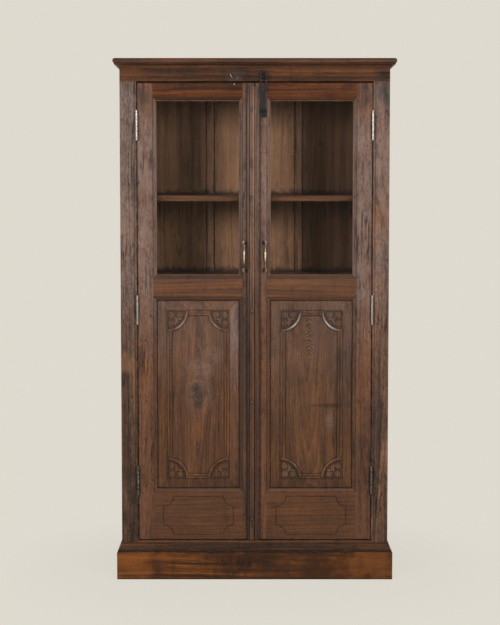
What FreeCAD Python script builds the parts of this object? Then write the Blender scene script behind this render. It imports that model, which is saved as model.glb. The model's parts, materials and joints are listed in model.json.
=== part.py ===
"""Glass-door cupboard.

A framed carcass on a skirting, with shelves, a coved and round-nosed top and two doors that
are glazed above and carved below. The doors hang on butt hinges, and a forged hasp on the right
door drops over a staple in the top rail. Millimetres, +Z up, front towards -Y, origin on the
floor under the middle of the whole.
"""

import FreeCAD
import Part
import math
import os
from types import SimpleNamespace

import Sketcher

Vector = FreeCAD.Vector
Rotation = FreeCAD.Rotation

# Driving dimensions, one cell each
SIZES = {
    # carcass
    "carcass_width": 940.0,
    "carcass_depth": 400.0,
    "total_height": 1830.0,
    # top and cornice
    "top_board_thickness": 18.0,
    "top_board_overhang": 22.0,
    "top_nose_radius": 8.0,
    "cornice_height": 14.0,
    "cornice_projection": 18.0,
    "cornice_foot": 3.0,
    "cornice_lip": 3.0,
    "cornice_cove_radius": 16.0,
    # skirting and its moulding
    "plinth_height": 98.0,
    "plinth_thickness": 17.0,
    "plinth_round": 4.0,
    "base_moulding_height": 32.0,
    "base_moulding_projection": 15.0,
    "base_moulding_lip": 3.0,
    "base_moulding_hollow_radius": 42.0,
    # posts
    "front_post_width": 58.0,
    "front_post_depth": 45.0,
    "back_post_size": 45.0,
    "post_bead_width": 7.0,
    "quirk_width": 2.0,
    "quirk_depth": 2.5,
    # front rails
    "top_rail_height": 61.0,
    "top_rail_stop": 13.0,
    "top_rail_lap": 15.0,
    "bottom_rail_height": 67.0,
    "bottom_rail_reveal": 7.0,
    # tenons of the carcass
    "carcass_tenon_length": 22.0,
    "carcass_tenon_thickness": 10.0,
    "tenon_shoulder": 8.0,
    "mortise_end_clearance": 0.5,
    # sides
    "side_frame_thickness": 24.0,
    "side_top_rail_height": 75.0,
    "side_middle_rail_height": 60.0,
    "side_middle_rail_foot": 960.0,
    "side_bottom_rail_height": 130.0,
    # loose panels of the sides and back
    "thin_panel_thickness": 8.0,
    "thin_panel_tongue": 8.0,
    "groove_clearance": 0.2,
    "groove_end_clearance": 0.8,
    # back
    "back_frame_thickness": 22.0,
    "back_rail_height": 72.0,
    "back_muntin_width": 29.0,
    "back_muntin_spacing": 328.0,
    # shelves
    "shelf_thickness": 20.0,
    "shelf_setback": 4.0,
    "shelf_side_clearance": 0.5,
    "upper_shelf_top": 1356.0,
    "middle_shelf_top": 1070.0,
    "lower_shelf_top": 600.0,
    "bottom_board_thickness": 22.0,
    "bottom_board_step": 10.0,
    "cleat_height": 24.0,
    "cleat_width": 21.0,
    # doors
    "door_thickness": 30.0,
    "hinge_gap": 2.0,
    "meeting_gap": 2.5,
    "door_head_gap": 5.0,
    "door_foot_gap": 3.0,
    "door_stop_gap": 0.5,
    "hinge_stile_width": 67.0,
    "meeting_stile_width": 54.0,
    "door_top_rail_height": 62.0,
    "lock_rail_height": 91.0,
    "door_bottom_rail_height": 183.0,
    "carved_panel_height": 665.0,
    "edge_width": 13.0,
    "edge_depth": 7.0,
    "door_tenon_length": 28.0,
    "door_tenon_thickness": 9.0,
    "door_tenon_shoulder": 12.0,
    # glazing
    "glass_thickness": 3.0,
    "glass_setback": 14.0,
    "glass_edge_clearance": 0.8,
    "rebate_width": 9.0,
    "glazing_bead_depth": 10.0,
    # carved panel
    "carved_tongue_setback": 13.0,
    "carved_tongue_thickness": 9.0,
    "carved_tongue_width": 8.0,
    "carved_bevel_width": 34.0,
    "carved_bevel_clearance": 0.5,
    "carved_face_setback": 3.0,
    "carved_bead_radius": 4.8,
    "carved_bead_inset": 14.0,
    "carved_bead_knot": 0.5,
    "carved_corner_inset": 3.0,
    "carved_bead_run": 79.5,
    "carved_field_sink": 3.5,
    "carved_spandrel_sink": 4.0,
    "carved_spandrel_margin": 1.0,
    # cut line on the bottom rail of a door
    "cartouche_side_inset": 20.0,
    "cartouche_foot_inset": 18.0,
    "cartouche_head_inset": 29.0,
    "cartouche_corner_radius": 35.0,
    "cartouche_line_radius": 1.7,
    # cover strips where the doors meet
    "strip_head_drop": 12.0,
    "strip_thickness": 6.0,
    "strip_shoulder": 3.0,
    "strip_crown_edge": 5.0,
    "strip_bead_width": 6.0,
    "strip_bead_radius": 3.2,
    "strip_groove": 2.0,
    "left_strip_width": 25.0,
    "right_strip_width": 12.0,
    "strip_crown_radius": 37.0,
    "strip_feather": 1.0,
    "nail_head_radius": 4.2,
    "nail_head_height": 1.6,
    "nail_head_seat": 0.4,
    "nail_shank_radius": 1.2,
    "nail_length": 24.0,
    # handles
    "handle_height": 1143.0,
    "handle_inset": 34.8,
    "handle_centres": 96.0,
    "handle_reach": 34.0,
    "handle_rod_radius": 3.6,
    "handle_bend_radius": 19.0,
    "handle_grip_radius": 5.2,
    "handle_grip_length": 52.0,
    "rose_radius": 8.5,
    "rose_height": 7.0,
    "rose_rim": 2.0,
    "rose_dome_radius": 9.6,
    # hinges
    "hinge_length": 102.0,
    "hinge_leaf_width": 25.0,
    "hinge_leaf_thickness": 2.2,
    "hinge_leaf_setback": 0.4,
    "hinge_knuckle_radius": 5.0,
    "hinge_knuckle_gap": 0.4,
    "hinge_axis_offset": 5.5,
    "hinge_pin_radius": 2.5,
    "hinge_fit": 0.05,
    "hinge_pin_head_radius": 3.8,
    "hinge_pin_head_height": 1.6,
    "hinge_head_drop": 148.0,
    "hinge_middle_rise": 815.0,
    "hinge_foot_rise": 212.0,
    # hasp
    "hasp_inset": 29.0,
    "hasp_pivot_drop": 103.0,
    "hasp_knuckle_radius": 4.5,
    "hasp_knuckle_length": 7.0,
    "hasp_knuckle_gap": 0.4,
    "hasp_axis_offset": 5.0,
    "hasp_pin_radius": 2.0,
    "hasp_fit": 0.05,
    "hasp_plate_height": 22.0,
    "hasp_plate_thickness": 2.2,
    "hasp_tab_height": 9.0,
    "hasp_strap_width": 17.0,
    "hasp_strap_foot": 6.0,
    "hasp_thickness": 5.0,
    "hasp_edge_round": 1.4,
    "hasp_face_gap": 0.7,
    "hasp_loop_width": 26.0,
    "hasp_loop_height": 79.0,
    "hasp_loop_rise": 62.0,
    "hasp_flare": 6.0,
    "hasp_bar_width": 7.0,
    "hasp_staple_rise": 17.0,
    "hasp_staple_spacing": 14.0,
    "hasp_staple_wire_radius": 2.3,
    "hasp_staple_reach": 9.0,
    "hook_staple_inset": 82.0,
    "hook_staple_rise": 18.0,
    "hook_staple_spacing": 22.0,
    "hook_staple_wire_radius": 2.0,
    "hook_staple_reach": 4.0,
    "staple_embed": 24.0,
    # how far every cutting tool runs past what it cuts
    "cut_overrun": 2.0,
}

# Lean of the worn staple on the left, in degrees from upright
HOOK_STAPLE_LEAN = 27.0
# Heights of the nails in the left cover strip, from its foot to its head
NAIL_HEIGHT_SHARES = (0.047, 0.308, 0.509, 0.756, 0.951)
# Where the five knuckles begin and end along a hinge
KNUCKLE_SHARES = (0.0, 0.2, 0.4, 0.6, 0.8, 1.0)

doc = FreeCAD.newDocument("cupboard")
sheet = doc.addObject("Spreadsheet::Sheet", "Sizes")
for row, (alias, number) in enumerate(SIZES.items(), start=1):
    sheet.set(f"A{row}", alias)
    sheet.set(f"B{row}", str(number))
    sheet.setAlias(f"B{row}", alias)
doc.recompute()


class Size:
    """A length, as its number and as the sheet expression that drives it."""

    def __init__(self, expression, value):
        self.expression = expression
        self.value = value

    def __add__(self, other):
        return Size(f"({self.expression} + {other.expression})", self.value + other.value)

    def __sub__(self, other):
        return Size(f"({self.expression} - {other.expression})", self.value - other.value)

    def __neg__(self):
        return Size(f"(-{self.expression})", -self.value)

    def __mul__(self, factor):
        return Size(f"({self.expression} * {factor!r})", self.value * factor)

    def __truediv__(self, divisor):
        return Size(f"({self.expression} / {divisor!r})", self.value / divisor)


def hypotenuse(first, second):
    """The long side of a right triangle."""
    a, b = first.expression, second.expression
    return Size(f"sqrt({a} * {a} + {b} * {b})", math.hypot(first.value, second.value))


def leg(long_side, short_side):
    """The third side of a right triangle."""
    a, b = long_side.expression, short_side.expression
    return Size(f"sqrt({a} * {a} - {b} * {b})", math.sqrt(long_side.value**2 - short_side.value**2))


ZERO = Size("0", 0.0)
s = SimpleNamespace(**{alias: Size(f"Sizes.{alias}", sheet.get(alias)) for alias in SIZES})

# Levels and planes that several pieces share
front = (s.handle_reach - s.carcass_depth) / 2
back = front + s.carcass_depth
half_width = s.carcass_width / 2
top_under = s.total_height - s.top_board_thickness
head_line = top_under - s.top_rail_height
moulding_top = s.plinth_height + s.base_moulding_height
sill_line = moulding_top + s.bottom_rail_reveal
sill_under = sill_line - s.bottom_rail_height
bottom_top = sill_line + s.bottom_board_step
post_inner = half_width - s.front_post_width
post_back = front + s.front_post_depth
back_post_inner = half_width - s.back_post_size
back_post_front = back - s.back_post_size
side_inner = half_width - s.side_frame_thickness
back_frame_front = back - s.back_frame_thickness
# Door planes and levels, for the left door
door_back = front + s.door_thickness
door_foot = sill_line + s.door_foot_gap
door_head = head_line - s.door_head_gap
hinge_edge = -(post_inner - s.hinge_gap)
meeting_edge = -(s.meeting_gap / 2)
opening_left = hinge_edge + s.hinge_stile_width
opening_right = meeting_edge - s.meeting_stile_width
panel_foot = door_foot + s.door_bottom_rail_height
panel_head = panel_foot + s.carved_panel_height
pane_foot = panel_head + s.lock_rail_height
pane_head = door_head - s.door_top_rail_height
hinge_axis_x = -(post_inner - s.hinge_gap / 2)
hinge_axis_y = front - s.hinge_axis_offset
# Hasp
hasp_x = -meeting_edge + s.hasp_inset
hasp_axis_y = front - s.hasp_axis_offset
hasp_axis_z = head_line - s.hasp_pivot_drop

ALONG_X = Rotation(Vector(0, 1, 0), 90)
ALONG_Y = Rotation(Vector(1, 0, 0), -90)
ALONG_Z = Rotation()


def bind(item, **sizes):
    """Ties properties of a document object to the sheet."""
    for name, size in sizes.items():
        item.setExpression(name, size.expression)
    return item


def place(item, x, y, z, turn=ALONG_Z):
    """Turns an object and ties its position to the sheet."""
    item.Placement = FreeCAD.Placement(Vector(), turn)
    for axis, size in zip("xyz", (x, y, z)):
        item.setExpression(f"Placement.Base.{axis}", size.expression)
    return item


def box(name, x, y, z):
    """A board between two ends on each axis."""
    item = doc.addObject("Part::Box", name)
    bind(item, Length=x[1] - x[0], Width=y[1] - y[0], Height=z[1] - z[0])
    return place(item, x[0], y[0], z[0])


def rod(name, radius, length, x, y, z, turn):
    """A round bar that starts at a point and runs along an axis."""
    item = doc.addObject("Part::Cylinder", name)
    bind(item, Radius=radius, Height=length)
    return place(item, x, y, z, turn)


def bend(name, ring_radius, rod_radius, angle, x, y, z, turn):
    """A round bar bent to an arc about a point."""
    item = doc.addObject("Part::Torus", name)
    item.Angle3 = angle
    bind(item, Radius1=ring_radius, Radius2=rod_radius)
    return place(item, x, y, z, turn)


def ball(name, radius, x, y, z):
    item = doc.addObject("Part::Sphere", name)
    bind(item, Radius=radius)
    return place(item, x, y, z)


def wedge(name, near, far, x, y, z, turn):
    """A block whose far face differs from its near face: each face is (x0, x1, z0, z1, y)."""
    item = doc.addObject("Part::Wedge", name)
    bind(item, Xmin=near[0], Xmax=near[1], Zmin=near[2], Zmax=near[3], Ymin=near[4])
    bind(item, X2min=far[0], X2max=far[1], Z2min=far[2], Z2max=far[3], Ymax=far[4])
    return place(item, x, y, z, turn)


def fuse(name, *pieces):
    item = doc.addObject("Part::MultiFuse", name)
    item.Shapes = list(pieces)
    item.Refine = True
    return item


def cut(name, base, *tools):
    """The base less all its tools."""
    item = doc.addObject("Part::Cut", name)
    item.Base = base
    item.Tool = tools[0] if len(tools) == 1 else fuse(f"{name}_tools", *tools)
    item.Refine = True
    return item


def common(name, first, second):
    item = doc.addObject("Part::Common", name)
    item.Base = first
    item.Tool = second
    return item


def group(name, *pieces):
    """Separate solids that make one node."""
    item = doc.addObject("Part::Compound", name)
    item.Links = list(pieces)
    return item


def mirrored(name, source):
    """The right-hand twin of a left-hand piece."""
    item = doc.addObject("Part::Mirroring", name)
    item.Source = source
    item.Normal = Vector(1, 0, 0)
    return item


def grown(span, amount):
    return (span[0] - amount, span[1] + amount)


def centred(middle, length):
    return (middle - length / 2, middle + length / 2)


def arc_centre(start, end, radius, turn):
    """Centre of the short arc from start to end: turn is 1 for anticlockwise, -1 for clockwise."""
    chord = end - start
    rise = math.sqrt(max(radius**2 - (chord.Length / 2) ** 2, 0))
    across = Vector(-chord.y, chord.x, 0).normalize()
    return (start + end) * 0.5 + across * (rise * turn)


def draw(sketch, corners, arcs=None, closed=True):
    """Draws an outline through corners, each tied to the sheet by its two coordinates.

    arcs maps the number of a corner to the radius and turn of the arc that leaves it.
    """
    arcs = arcs or {}
    points = [Vector(u.value, v.value, 0) for u, v in corners]
    count = len(points) if closed else len(points) - 1
    ends = []
    first = sketch.GeometryCount
    for i in range(count):
        start, end = points[i], points[(i + 1) % len(points)]
        if i in arcs:
            radius, turn = arcs[i]
            centre = arc_centre(start, end, radius.value, turn)
            low, high = (start, end) if turn > 0 else (end, start)
            angles = [math.atan2(p.y - centre.y, p.x - centre.x) for p in (low, high)]
            circle = Part.Circle(centre, Vector(0, 0, 1), radius.value)
            sketch.addGeometry(Part.ArcOfCircle(circle, angles[0], angles[1]), False)
            ends.append((1, 2) if turn > 0 else (2, 1))
            made = sketch.addConstraint(Sketcher.Constraint("Radius", first + i, radius.value))
            sketch.setExpression(f"Constraints[{made}]", radius.expression)
        else:
            sketch.addGeometry(Part.LineSegment(start, end), False)
            ends.append((1, 2))
    for i in range(count if closed else count - 1):
        after = (i + 1) % count
        joint = (first + i, ends[i][1], first + after, ends[after][0])
        sketch.addConstraint(Sketcher.Constraint("Coincident", *joint))
    places = [(first + i, ends[i][0]) for i in range(count)]
    if not closed:
        places.append((first + count - 1, ends[-1][1]))
    for (edge, end), (u, v) in zip(places, corners):
        tie(sketch, edge, end, u, v)


def tie(sketch, edge, end, u, v):
    """Holds one point of an edge at coordinates from the sheet."""
    for kind, size, axis in (("DistanceX", u, -2), ("DistanceY", v, -1)):
        if size is ZERO:
            sketch.addConstraint(Sketcher.Constraint("PointOnObject", edge, end, axis))
        else:
            made = sketch.addConstraint(Sketcher.Constraint(kind, -1, 1, edge, end, size.value))
            sketch.setExpression(f"Constraints[{made}]", size.expression)


def ring(sketch, radius, u, v):
    """Draws a circle with its radius and centre tied to the sheet."""
    centre = Vector(u.value, v.value, 0)
    edge = sketch.addGeometry(Part.Circle(centre, Vector(0, 0, 1), radius.value))
    made = sketch.addConstraint(Sketcher.Constraint("Radius", edge, radius.value))
    sketch.setExpression(f"Constraints[{made}]", radius.expression)
    # the centre is the third point of a circle
    tie(sketch, edge, 3, u, v)


def body_sketch(body, name, role):
    """A sketch on one of the body's own origin planes."""
    sketch = body.newObject("Sketcher::SketchObject", name)
    plane = next(item for item in body.Origin.OriginFeatures if item.Role == role)
    sketch.AttachmentSupport = [(plane, "")]
    sketch.MapMode = "FlatFace"
    return sketch


def extrusion(name, corners, arcs, length, x, y, z, turn):
    """A profile of (outward, upward) corners run along its own normal."""
    sketch = doc.addObject("Sketcher::SketchObject", f"{name}_profile")
    draw(sketch, corners, arcs)
    place(sketch, x, y, z, turn)
    item = doc.addObject("Part::Extrusion", name)
    item.Base = sketch
    item.DirMode = "Normal"
    item.Solid = True
    bind(item, LengthFwd=length)
    return item


# Outward is -Y on the front run and -X on the left run
FRONT_RUN = Rotation(Vector(0, -1, 0), Vector(0, 0, 1), Vector(-1, 0, 0), "XYZ")
LEFT_RUN = Rotation(Vector(-1, 0, 0), Vector(0, 0, 1), Vector(0, 1, 0), "XYZ")


def surround(name, corners, arcs, projection, foot, height):
    """A moulding planted round the front and sides, mitred at the front corners."""
    across = half_width + projection
    front_run = extrusion(
        f"{name}_front_run", corners, arcs, across * 2, across, front, foot, FRONT_RUN
    )
    left_run = extrusion(
        f"{name}_left_run", corners, arcs, s.carcass_depth + projection,
        -half_width, front - projection, foot, LEFT_RUN,
    )
    run_over = s.cut_overrun
    wide = across + run_over
    narrow = half_width - run_over
    levels = (-run_over, height + run_over)
    mitre = wedge(
        f"{name}_mitre",
        (-wide, wide, *levels, -(projection + run_over)),
        (-narrow, narrow, *levels, run_over),
        ZERO, front, foot, ALONG_Z,
    )
    left = cut(f"{name}_left", left_run, mitre)
    return {
        f"{name}_front": common(f"{name}_front", front_run, mitre),
        f"{name}_left": left,
        f"{name}_right": mirrored(f"{name}_right", left),
    }


def plinth():
    """Skirting boards with a rounded top arris, and a plain board at the back."""
    reach, height, ease = s.plinth_thickness, s.plinth_height, s.plinth_round
    corners = [
        (ZERO, ZERO), (reach, ZERO), (reach, height - ease), (reach - ease, height), (ZERO, height)
    ]
    pieces = surround("plinth", corners, {2: (ease, 1)}, reach, ZERO, height)
    pieces["plinth_back"] = box(
        "plinth_back",
        (-back_post_inner, back_post_inner), (back - s.plinth_thickness, back), (ZERO, sill_under),
    )
    return pieces


def base_moulding():
    """A hollow splayed moulding that stands on the skirting."""
    reach, height, lip = s.base_moulding_projection, s.base_moulding_height, s.base_moulding_lip
    corners = [(ZERO, ZERO), (reach, ZERO), (reach, lip), (lip, height), (ZERO, height)]
    arcs = {2: (s.base_moulding_hollow_radius, -1)}
    return surround("base_moulding", corners, arcs, reach, s.plinth_height, height)


def cornice():
    """A cove under the top board."""
    reach, height, foot, lip = s.cornice_projection, s.cornice_height, s.cornice_foot, s.cornice_lip
    corners = [
        (ZERO, ZERO), (foot, ZERO), (reach, height - lip), (reach, height), (ZERO, height)
    ]
    arcs = {1: (s.cornice_cove_radius, -1)}
    return surround("cornice", corners, arcs, reach, top_under - height, height)


def top_board():
    """The top, padded from its plan and rounded along the front and sides."""
    body = doc.addObject("PartDesign::Body", "top_board")
    plan = body_sketch(body, "top_board_plan", "XY_Plane")
    reach = half_width + s.top_board_overhang
    near = front - s.top_board_overhang
    draw(plan, [(-reach, near), (reach, near), (reach, back), (-reach, back)])
    pad = body.newObject("PartDesign::Pad", "top_board_pad")
    pad.Profile = plan
    bind(pad, Length=s.top_board_thickness)
    doc.recompute()
    far = [edge.CenterOfMass.y > back.value - s.cut_overrun.value for edge in pad.Shape.Edges]
    level = [edge.BoundBox.ZLength < s.cut_overrun.value for edge in pad.Shape.Edges]
    nosed = [f"Edge{i + 1}" for i in range(len(far)) if level[i] and not far[i]]
    nose = body.newObject("PartDesign::Fillet", "top_board_nose")
    nose.Base = (pad, nosed)
    bind(nose, Radius=s.top_nose_radius)
    place(body, ZERO, ZERO, top_under)
    return {"top_board": body}


def tenoned(name, axis, spans, thick_axis, thick, length, shoulder):
    """A rail with a stub tenon at each end; returns it and the two mortises that take them."""
    tall_axis = 3 - axis - thick_axis
    middle = (spans[thick_axis][0] + spans[thick_axis][1]) / 2
    tongue = list(spans)
    tongue[axis] = grown(spans[axis], length)
    tongue[thick_axis] = centred(middle, thick)
    tongue[tall_axis] = grown(spans[tall_axis], -shoulder)
    rail = fuse(f"{name}_tenoned", box(f"{name}_body", *spans), box(f"{name}_tenon", *tongue))
    deep = length + s.mortise_end_clearance
    mortises = []
    for end, (low, high) in enumerate(
        ((spans[axis][0] - deep, spans[axis][0]), (spans[axis][1], spans[axis][1] + deep))
    ):
        hole = list(tongue)
        hole[axis] = (low, high)
        mortises.append(box(f"{name}_mortise_{end}", *hole))
    return rail, mortises


def thin_panel(name, opening, thick_axis, middle):
    """A loose panel in grooves: returns it and the tool that cuts the grooves."""
    spans = [grown(span, s.thin_panel_tongue) for span in opening]
    spans[thick_axis] = centred(middle, s.thin_panel_thickness)
    room = [grown(span, s.groove_end_clearance) for span in spans]
    room[thick_axis] = grown(spans[thick_axis], s.groove_clearance)
    return box(name, *spans), box(f"{name}_groove", *room)


def carcass_rail(name, axis, spans, thick_axis):
    return tenoned(
        name, axis, spans, thick_axis,
        s.carcass_tenon_thickness, s.carcass_tenon_length, s.tenon_shoulder,
    )


def side_frame():
    """Rails and panels of the left side, with what they cut out of the two posts."""
    across = (-half_width, -side_inner)
    between = (post_back, back_post_front)
    middle_foot = s.side_middle_rail_foot
    middle_head = middle_foot + s.side_middle_rail_height
    bottom_head = sill_under + s.side_bottom_rail_height
    top_foot = top_under - s.side_top_rail_height
    levels = {
        "bottom": (sill_under, bottom_head),
        "middle": (middle_foot, middle_head),
        "top": (top_foot, top_under),
    }
    openings = {"lower": (bottom_head, middle_foot), "upper": (middle_head, top_foot)}
    plane = -half_width + s.side_frame_thickness / 2
    panels, grooves = [], []
    for name, heights in openings.items():
        panel, groove = thin_panel(f"side_panel_{name}", [across, between, heights], 0, plane)
        panels.append(panel)
        grooves.append(groove)
    rails, front_mortises, back_mortises = [], [], []
    for name, heights in levels.items():
        rail, ends = carcass_rail(f"side_rail_{name}", 1, [across, between, heights], 0)
        rails.append(cut(f"side_rail_{name}", rail, *grooves))
        front_mortises.append(ends[0])
        back_mortises.append(ends[1])
    return rails, panels, front_mortises + grooves, back_mortises + grooves


def staple(name, x, z, spacing, wire, reach, lean):
    """A bent wire staple and the two holes that its legs go into."""
    angle = math.radians(lean)
    upward = Vector(-math.sin(angle), 0, math.cos(angle))
    outward = Vector(0, -1, 0)
    turn = Rotation(upward, outward, upward.cross(outward), "XYZ")
    tip = front - reach
    pieces = [bend(f"{name}_bow", spacing / 2, wire, 180, x, tip, z, turn)]
    holes = []
    for end, side in (("upper", 0.5), ("lower", -0.5)):
        leg_x = x + spacing * (side * upward.x)
        leg_z = z + spacing * (side * upward.z)
        length = reach + s.staple_embed
        pieces.append(rod(f"{name}_{end}_leg", wire, length, leg_x, tip, leg_z, ALONG_Y))
        depth = length + s.mortise_end_clearance
        holes.append(rod(f"{name}_{end}_hole", wire, depth, leg_x, tip, leg_z, ALONG_Y))
    return fuse(name, *pieces), holes


def front_rails():
    """Top rail, lapped over the posts, and bottom rail; and what they cut out of the left post."""
    across = (-post_inner, post_inner)
    top, top_mortises = carcass_rail(
        "front_top_rail", 0, [across, (front, post_back), (head_line, top_under)], 1
    )
    stop = box(
        "front_top_stop", across, (door_back + s.door_stop_gap, post_back),
        (head_line - s.top_rail_stop, head_line),
    )
    lap = box(
        "front_top_lap", (-half_width, half_width), (front, front + s.top_rail_lap),
        (head_line, top_under),
    )
    hasp_staple, hasp_holes = staple(
        "hasp_staple", hasp_x, head_line + s.hasp_staple_rise,
        s.hasp_staple_spacing, s.hasp_staple_wire_radius, s.hasp_staple_reach, 0,
    )
    hook_staple, hook_holes = staple(
        "hook_staple", -s.hook_staple_inset, head_line + s.hook_staple_rise,
        s.hook_staple_spacing, s.hook_staple_wire_radius, s.hook_staple_reach, HOOK_STAPLE_LEAN,
    )
    bottom, bottom_mortises = carcass_rail(
        "front_bottom_rail", 0, [across, (front, door_back), (sill_under, sill_line)], 1
    )
    pieces = {
        "front_top_rail": cut(
            "front_top_rail", fuse("front_top_rail_whole", top, stop, lap), *hasp_holes, *hook_holes
        ),
        "front_bottom_rail": bottom,
        "hasp_staple": hasp_staple,
        "hook_staple": hook_staple,
    }
    return pieces, [lap, top_mortises[0], bottom_mortises[0]]


def back_frame():
    """Rails, muntins and panels of the back, and what they cut out of the left post."""
    across = (-back_post_inner, back_post_inner)
    thick = (back_frame_front, back)
    bottom_head = sill_under + s.back_rail_height
    top_foot = top_under - s.back_rail_height
    heights = (bottom_head, top_foot)
    plane = back - s.back_frame_thickness / 2
    muntin_middle = s.back_muntin_spacing / 2
    muntin_inner = muntin_middle - s.back_muntin_width / 2
    muntin_outer = muntin_middle + s.back_muntin_width / 2
    outer, outer_groove = thin_panel(
        "back_panel_outer", [(-back_post_inner, -muntin_outer), thick, heights], 1, plane
    )
    centre, centre_groove = thin_panel(
        "back_panel_centre", [(-muntin_inner, muntin_inner), thick, heights], 1, plane
    )
    other_groove = mirrored("back_panel_other_groove", outer_groove)
    muntin, mortises = carcass_rail(
        "back_muntin", 2, [(-muntin_outer, -muntin_inner), thick, heights], 1
    )
    left_muntin = cut("back_muntin", muntin, outer_groove, centre_groove)
    grooves = [outer_groove, centre_groove, other_groove]
    rails, post_cuts = [], [outer_groove]
    for name, levels, mortise in (
        ("back_bottom_rail", (sill_under, bottom_head), mortises[0]),
        ("back_top_rail", (top_foot, top_under), mortises[1]),
    ):
        rail, ends = carcass_rail(name, 0, [across, thick, levels], 1)
        other_mortise = mirrored(f"{name}_other_mortise", mortise)
        rails.append(cut(name, rail, *grooves, mortise, other_mortise))
        post_cuts.append(ends[0])
    pieces = {
        "back_frame_rails": group("back_frame_rails", *rails),
        "back_muntins": group(
            "back_muntins", left_muntin, mirrored("back_muntin_other", left_muntin)
        ),
        "back_panels": group(
            "back_panels", outer, centre, mirrored("back_panel_other", outer)
        ),
    }
    return pieces, post_cuts


def posts(front_cuts, back_cuts):
    """Corner posts: the front ones carry a quirked bead beside the doors."""
    height = (ZERO, top_under)
    front_post = box("front_post", (-half_width, -post_inner), (front, post_back), height)
    quirk_edge = -post_inner - s.post_bead_width
    quirk = box(
        "front_post_quirk",
        (quirk_edge - s.quirk_width, quirk_edge), (front - s.cut_overrun, front + s.quirk_depth),
        (sill_line, head_line),
    )
    back_post = box(
        "back_post", (-half_width, -back_post_inner), (back_post_front, back), height
    )
    front_left = cut("front_post_left", front_post, quirk, *front_cuts)
    back_left = cut("back_post_left", back_post, *back_cuts)
    return {
        "front_post_left": front_left,
        "front_post_right": mirrored("front_post_right", front_left),
        "back_post_left": back_left,
        "back_post_right": mirrored("back_post_right", back_left),
    }


def shelf(name, top, thickness, near):
    """A board between the sides, notched round the posts that it meets."""
    reach = side_inner - s.shelf_side_clearance
    board = box(f"{name}_board", (-reach, reach), (near, back_frame_front), (top - thickness, top))
    slack = s.shelf_side_clearance
    through = grown((top - thickness, top), s.cut_overrun)
    outward = half_width
    notches = [
        box(
            f"{name}_back_notch", (-outward, slack - back_post_inner),
            (back_post_front - slack, back), through,
        )
    ]
    if near.value < post_back.value:
        notches.append(
            box(
                f"{name}_front_notch", (-outward, slack - post_inner), (front, post_back + slack),
                through,
            )
        )
    notches += [mirrored(f"{notch.Name}_other", notch) for notch in notches]
    return cut(name, board, *notches)


def shelves():
    """Bottom board, three shelves and the cleats under them."""
    near = post_back + s.shelf_setback
    levels = {
        "shelf_upper": s.upper_shelf_top,
        "shelf_middle": s.middle_shelf_top,
        "shelf_lower": s.lower_shelf_top,
    }
    pieces = {name: shelf(name, top, s.shelf_thickness, near) for name, top in levels.items()}
    pieces["bottom_board"] = shelf(
        "bottom_board", bottom_top, s.bottom_board_thickness, door_back + s.door_stop_gap
    )
    seats = [top - s.shelf_thickness for top in levels.values()]
    seats.append(bottom_top - s.bottom_board_thickness)
    cleats = group(
        "shelf_cleats_left",
        *(
            box(
                f"shelf_cleat_{i}", (-side_inner, s.cleat_width - side_inner),
                (post_back, back_post_front), (seat - s.cleat_height, seat),
            )
            for i, seat in enumerate(seats)
        ),
    )
    other = mirrored("shelf_cleats_right", cleats)
    pieces["shelf_cleats"] = group("shelf_cleats", cleats, other)
    return pieces


# How an edge strip is turned, by the way it slopes into the opening
STRIP_TURNS = {
    "right": Rotation(Vector(0, 0, 1), Vector(1, 0, 0), Vector(0, 1, 0), "XYZ"),
    "left": Rotation(Vector(0, 0, -1), Vector(-1, 0, 0), Vector(0, 1, 0), "XYZ"),
    "up": Rotation(Vector(-1, 0, 0), Vector(0, 0, 1), Vector(0, 1, 0), "XYZ"),
    "down": Rotation(Vector(1, 0, 0), Vector(0, 0, -1), Vector(0, 1, 0), "XYZ"),
}


def edge_strips(name, across, heights):
    """The chamfered edges round an opening of a door, mitred where stile and rail meet."""
    width, depth, thick = s.edge_width, s.edge_depth, s.door_thickness
    outer_across = grown(across, width)
    outer_heights = grown(heights, width)
    strips = {}
    for toward, long_span, x, z in (
        ("right", outer_heights, outer_across[0], outer_heights[0]),
        ("left", outer_heights, outer_across[1], outer_heights[1]),
        ("up", outer_across, outer_across[1], outer_heights[0]),
        ("down", outer_across, outer_across[0], outer_heights[1]),
    ):
        length = long_span[1] - long_span[0]
        near = (ZERO, length, ZERO, thick, ZERO)
        far = (width, length - width, depth, thick, width)
        turn = STRIP_TURNS[toward]
        strips[toward] = wedge(f"{name}_strip_{toward}", near, far, x, front, z, turn)
    return strips


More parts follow.
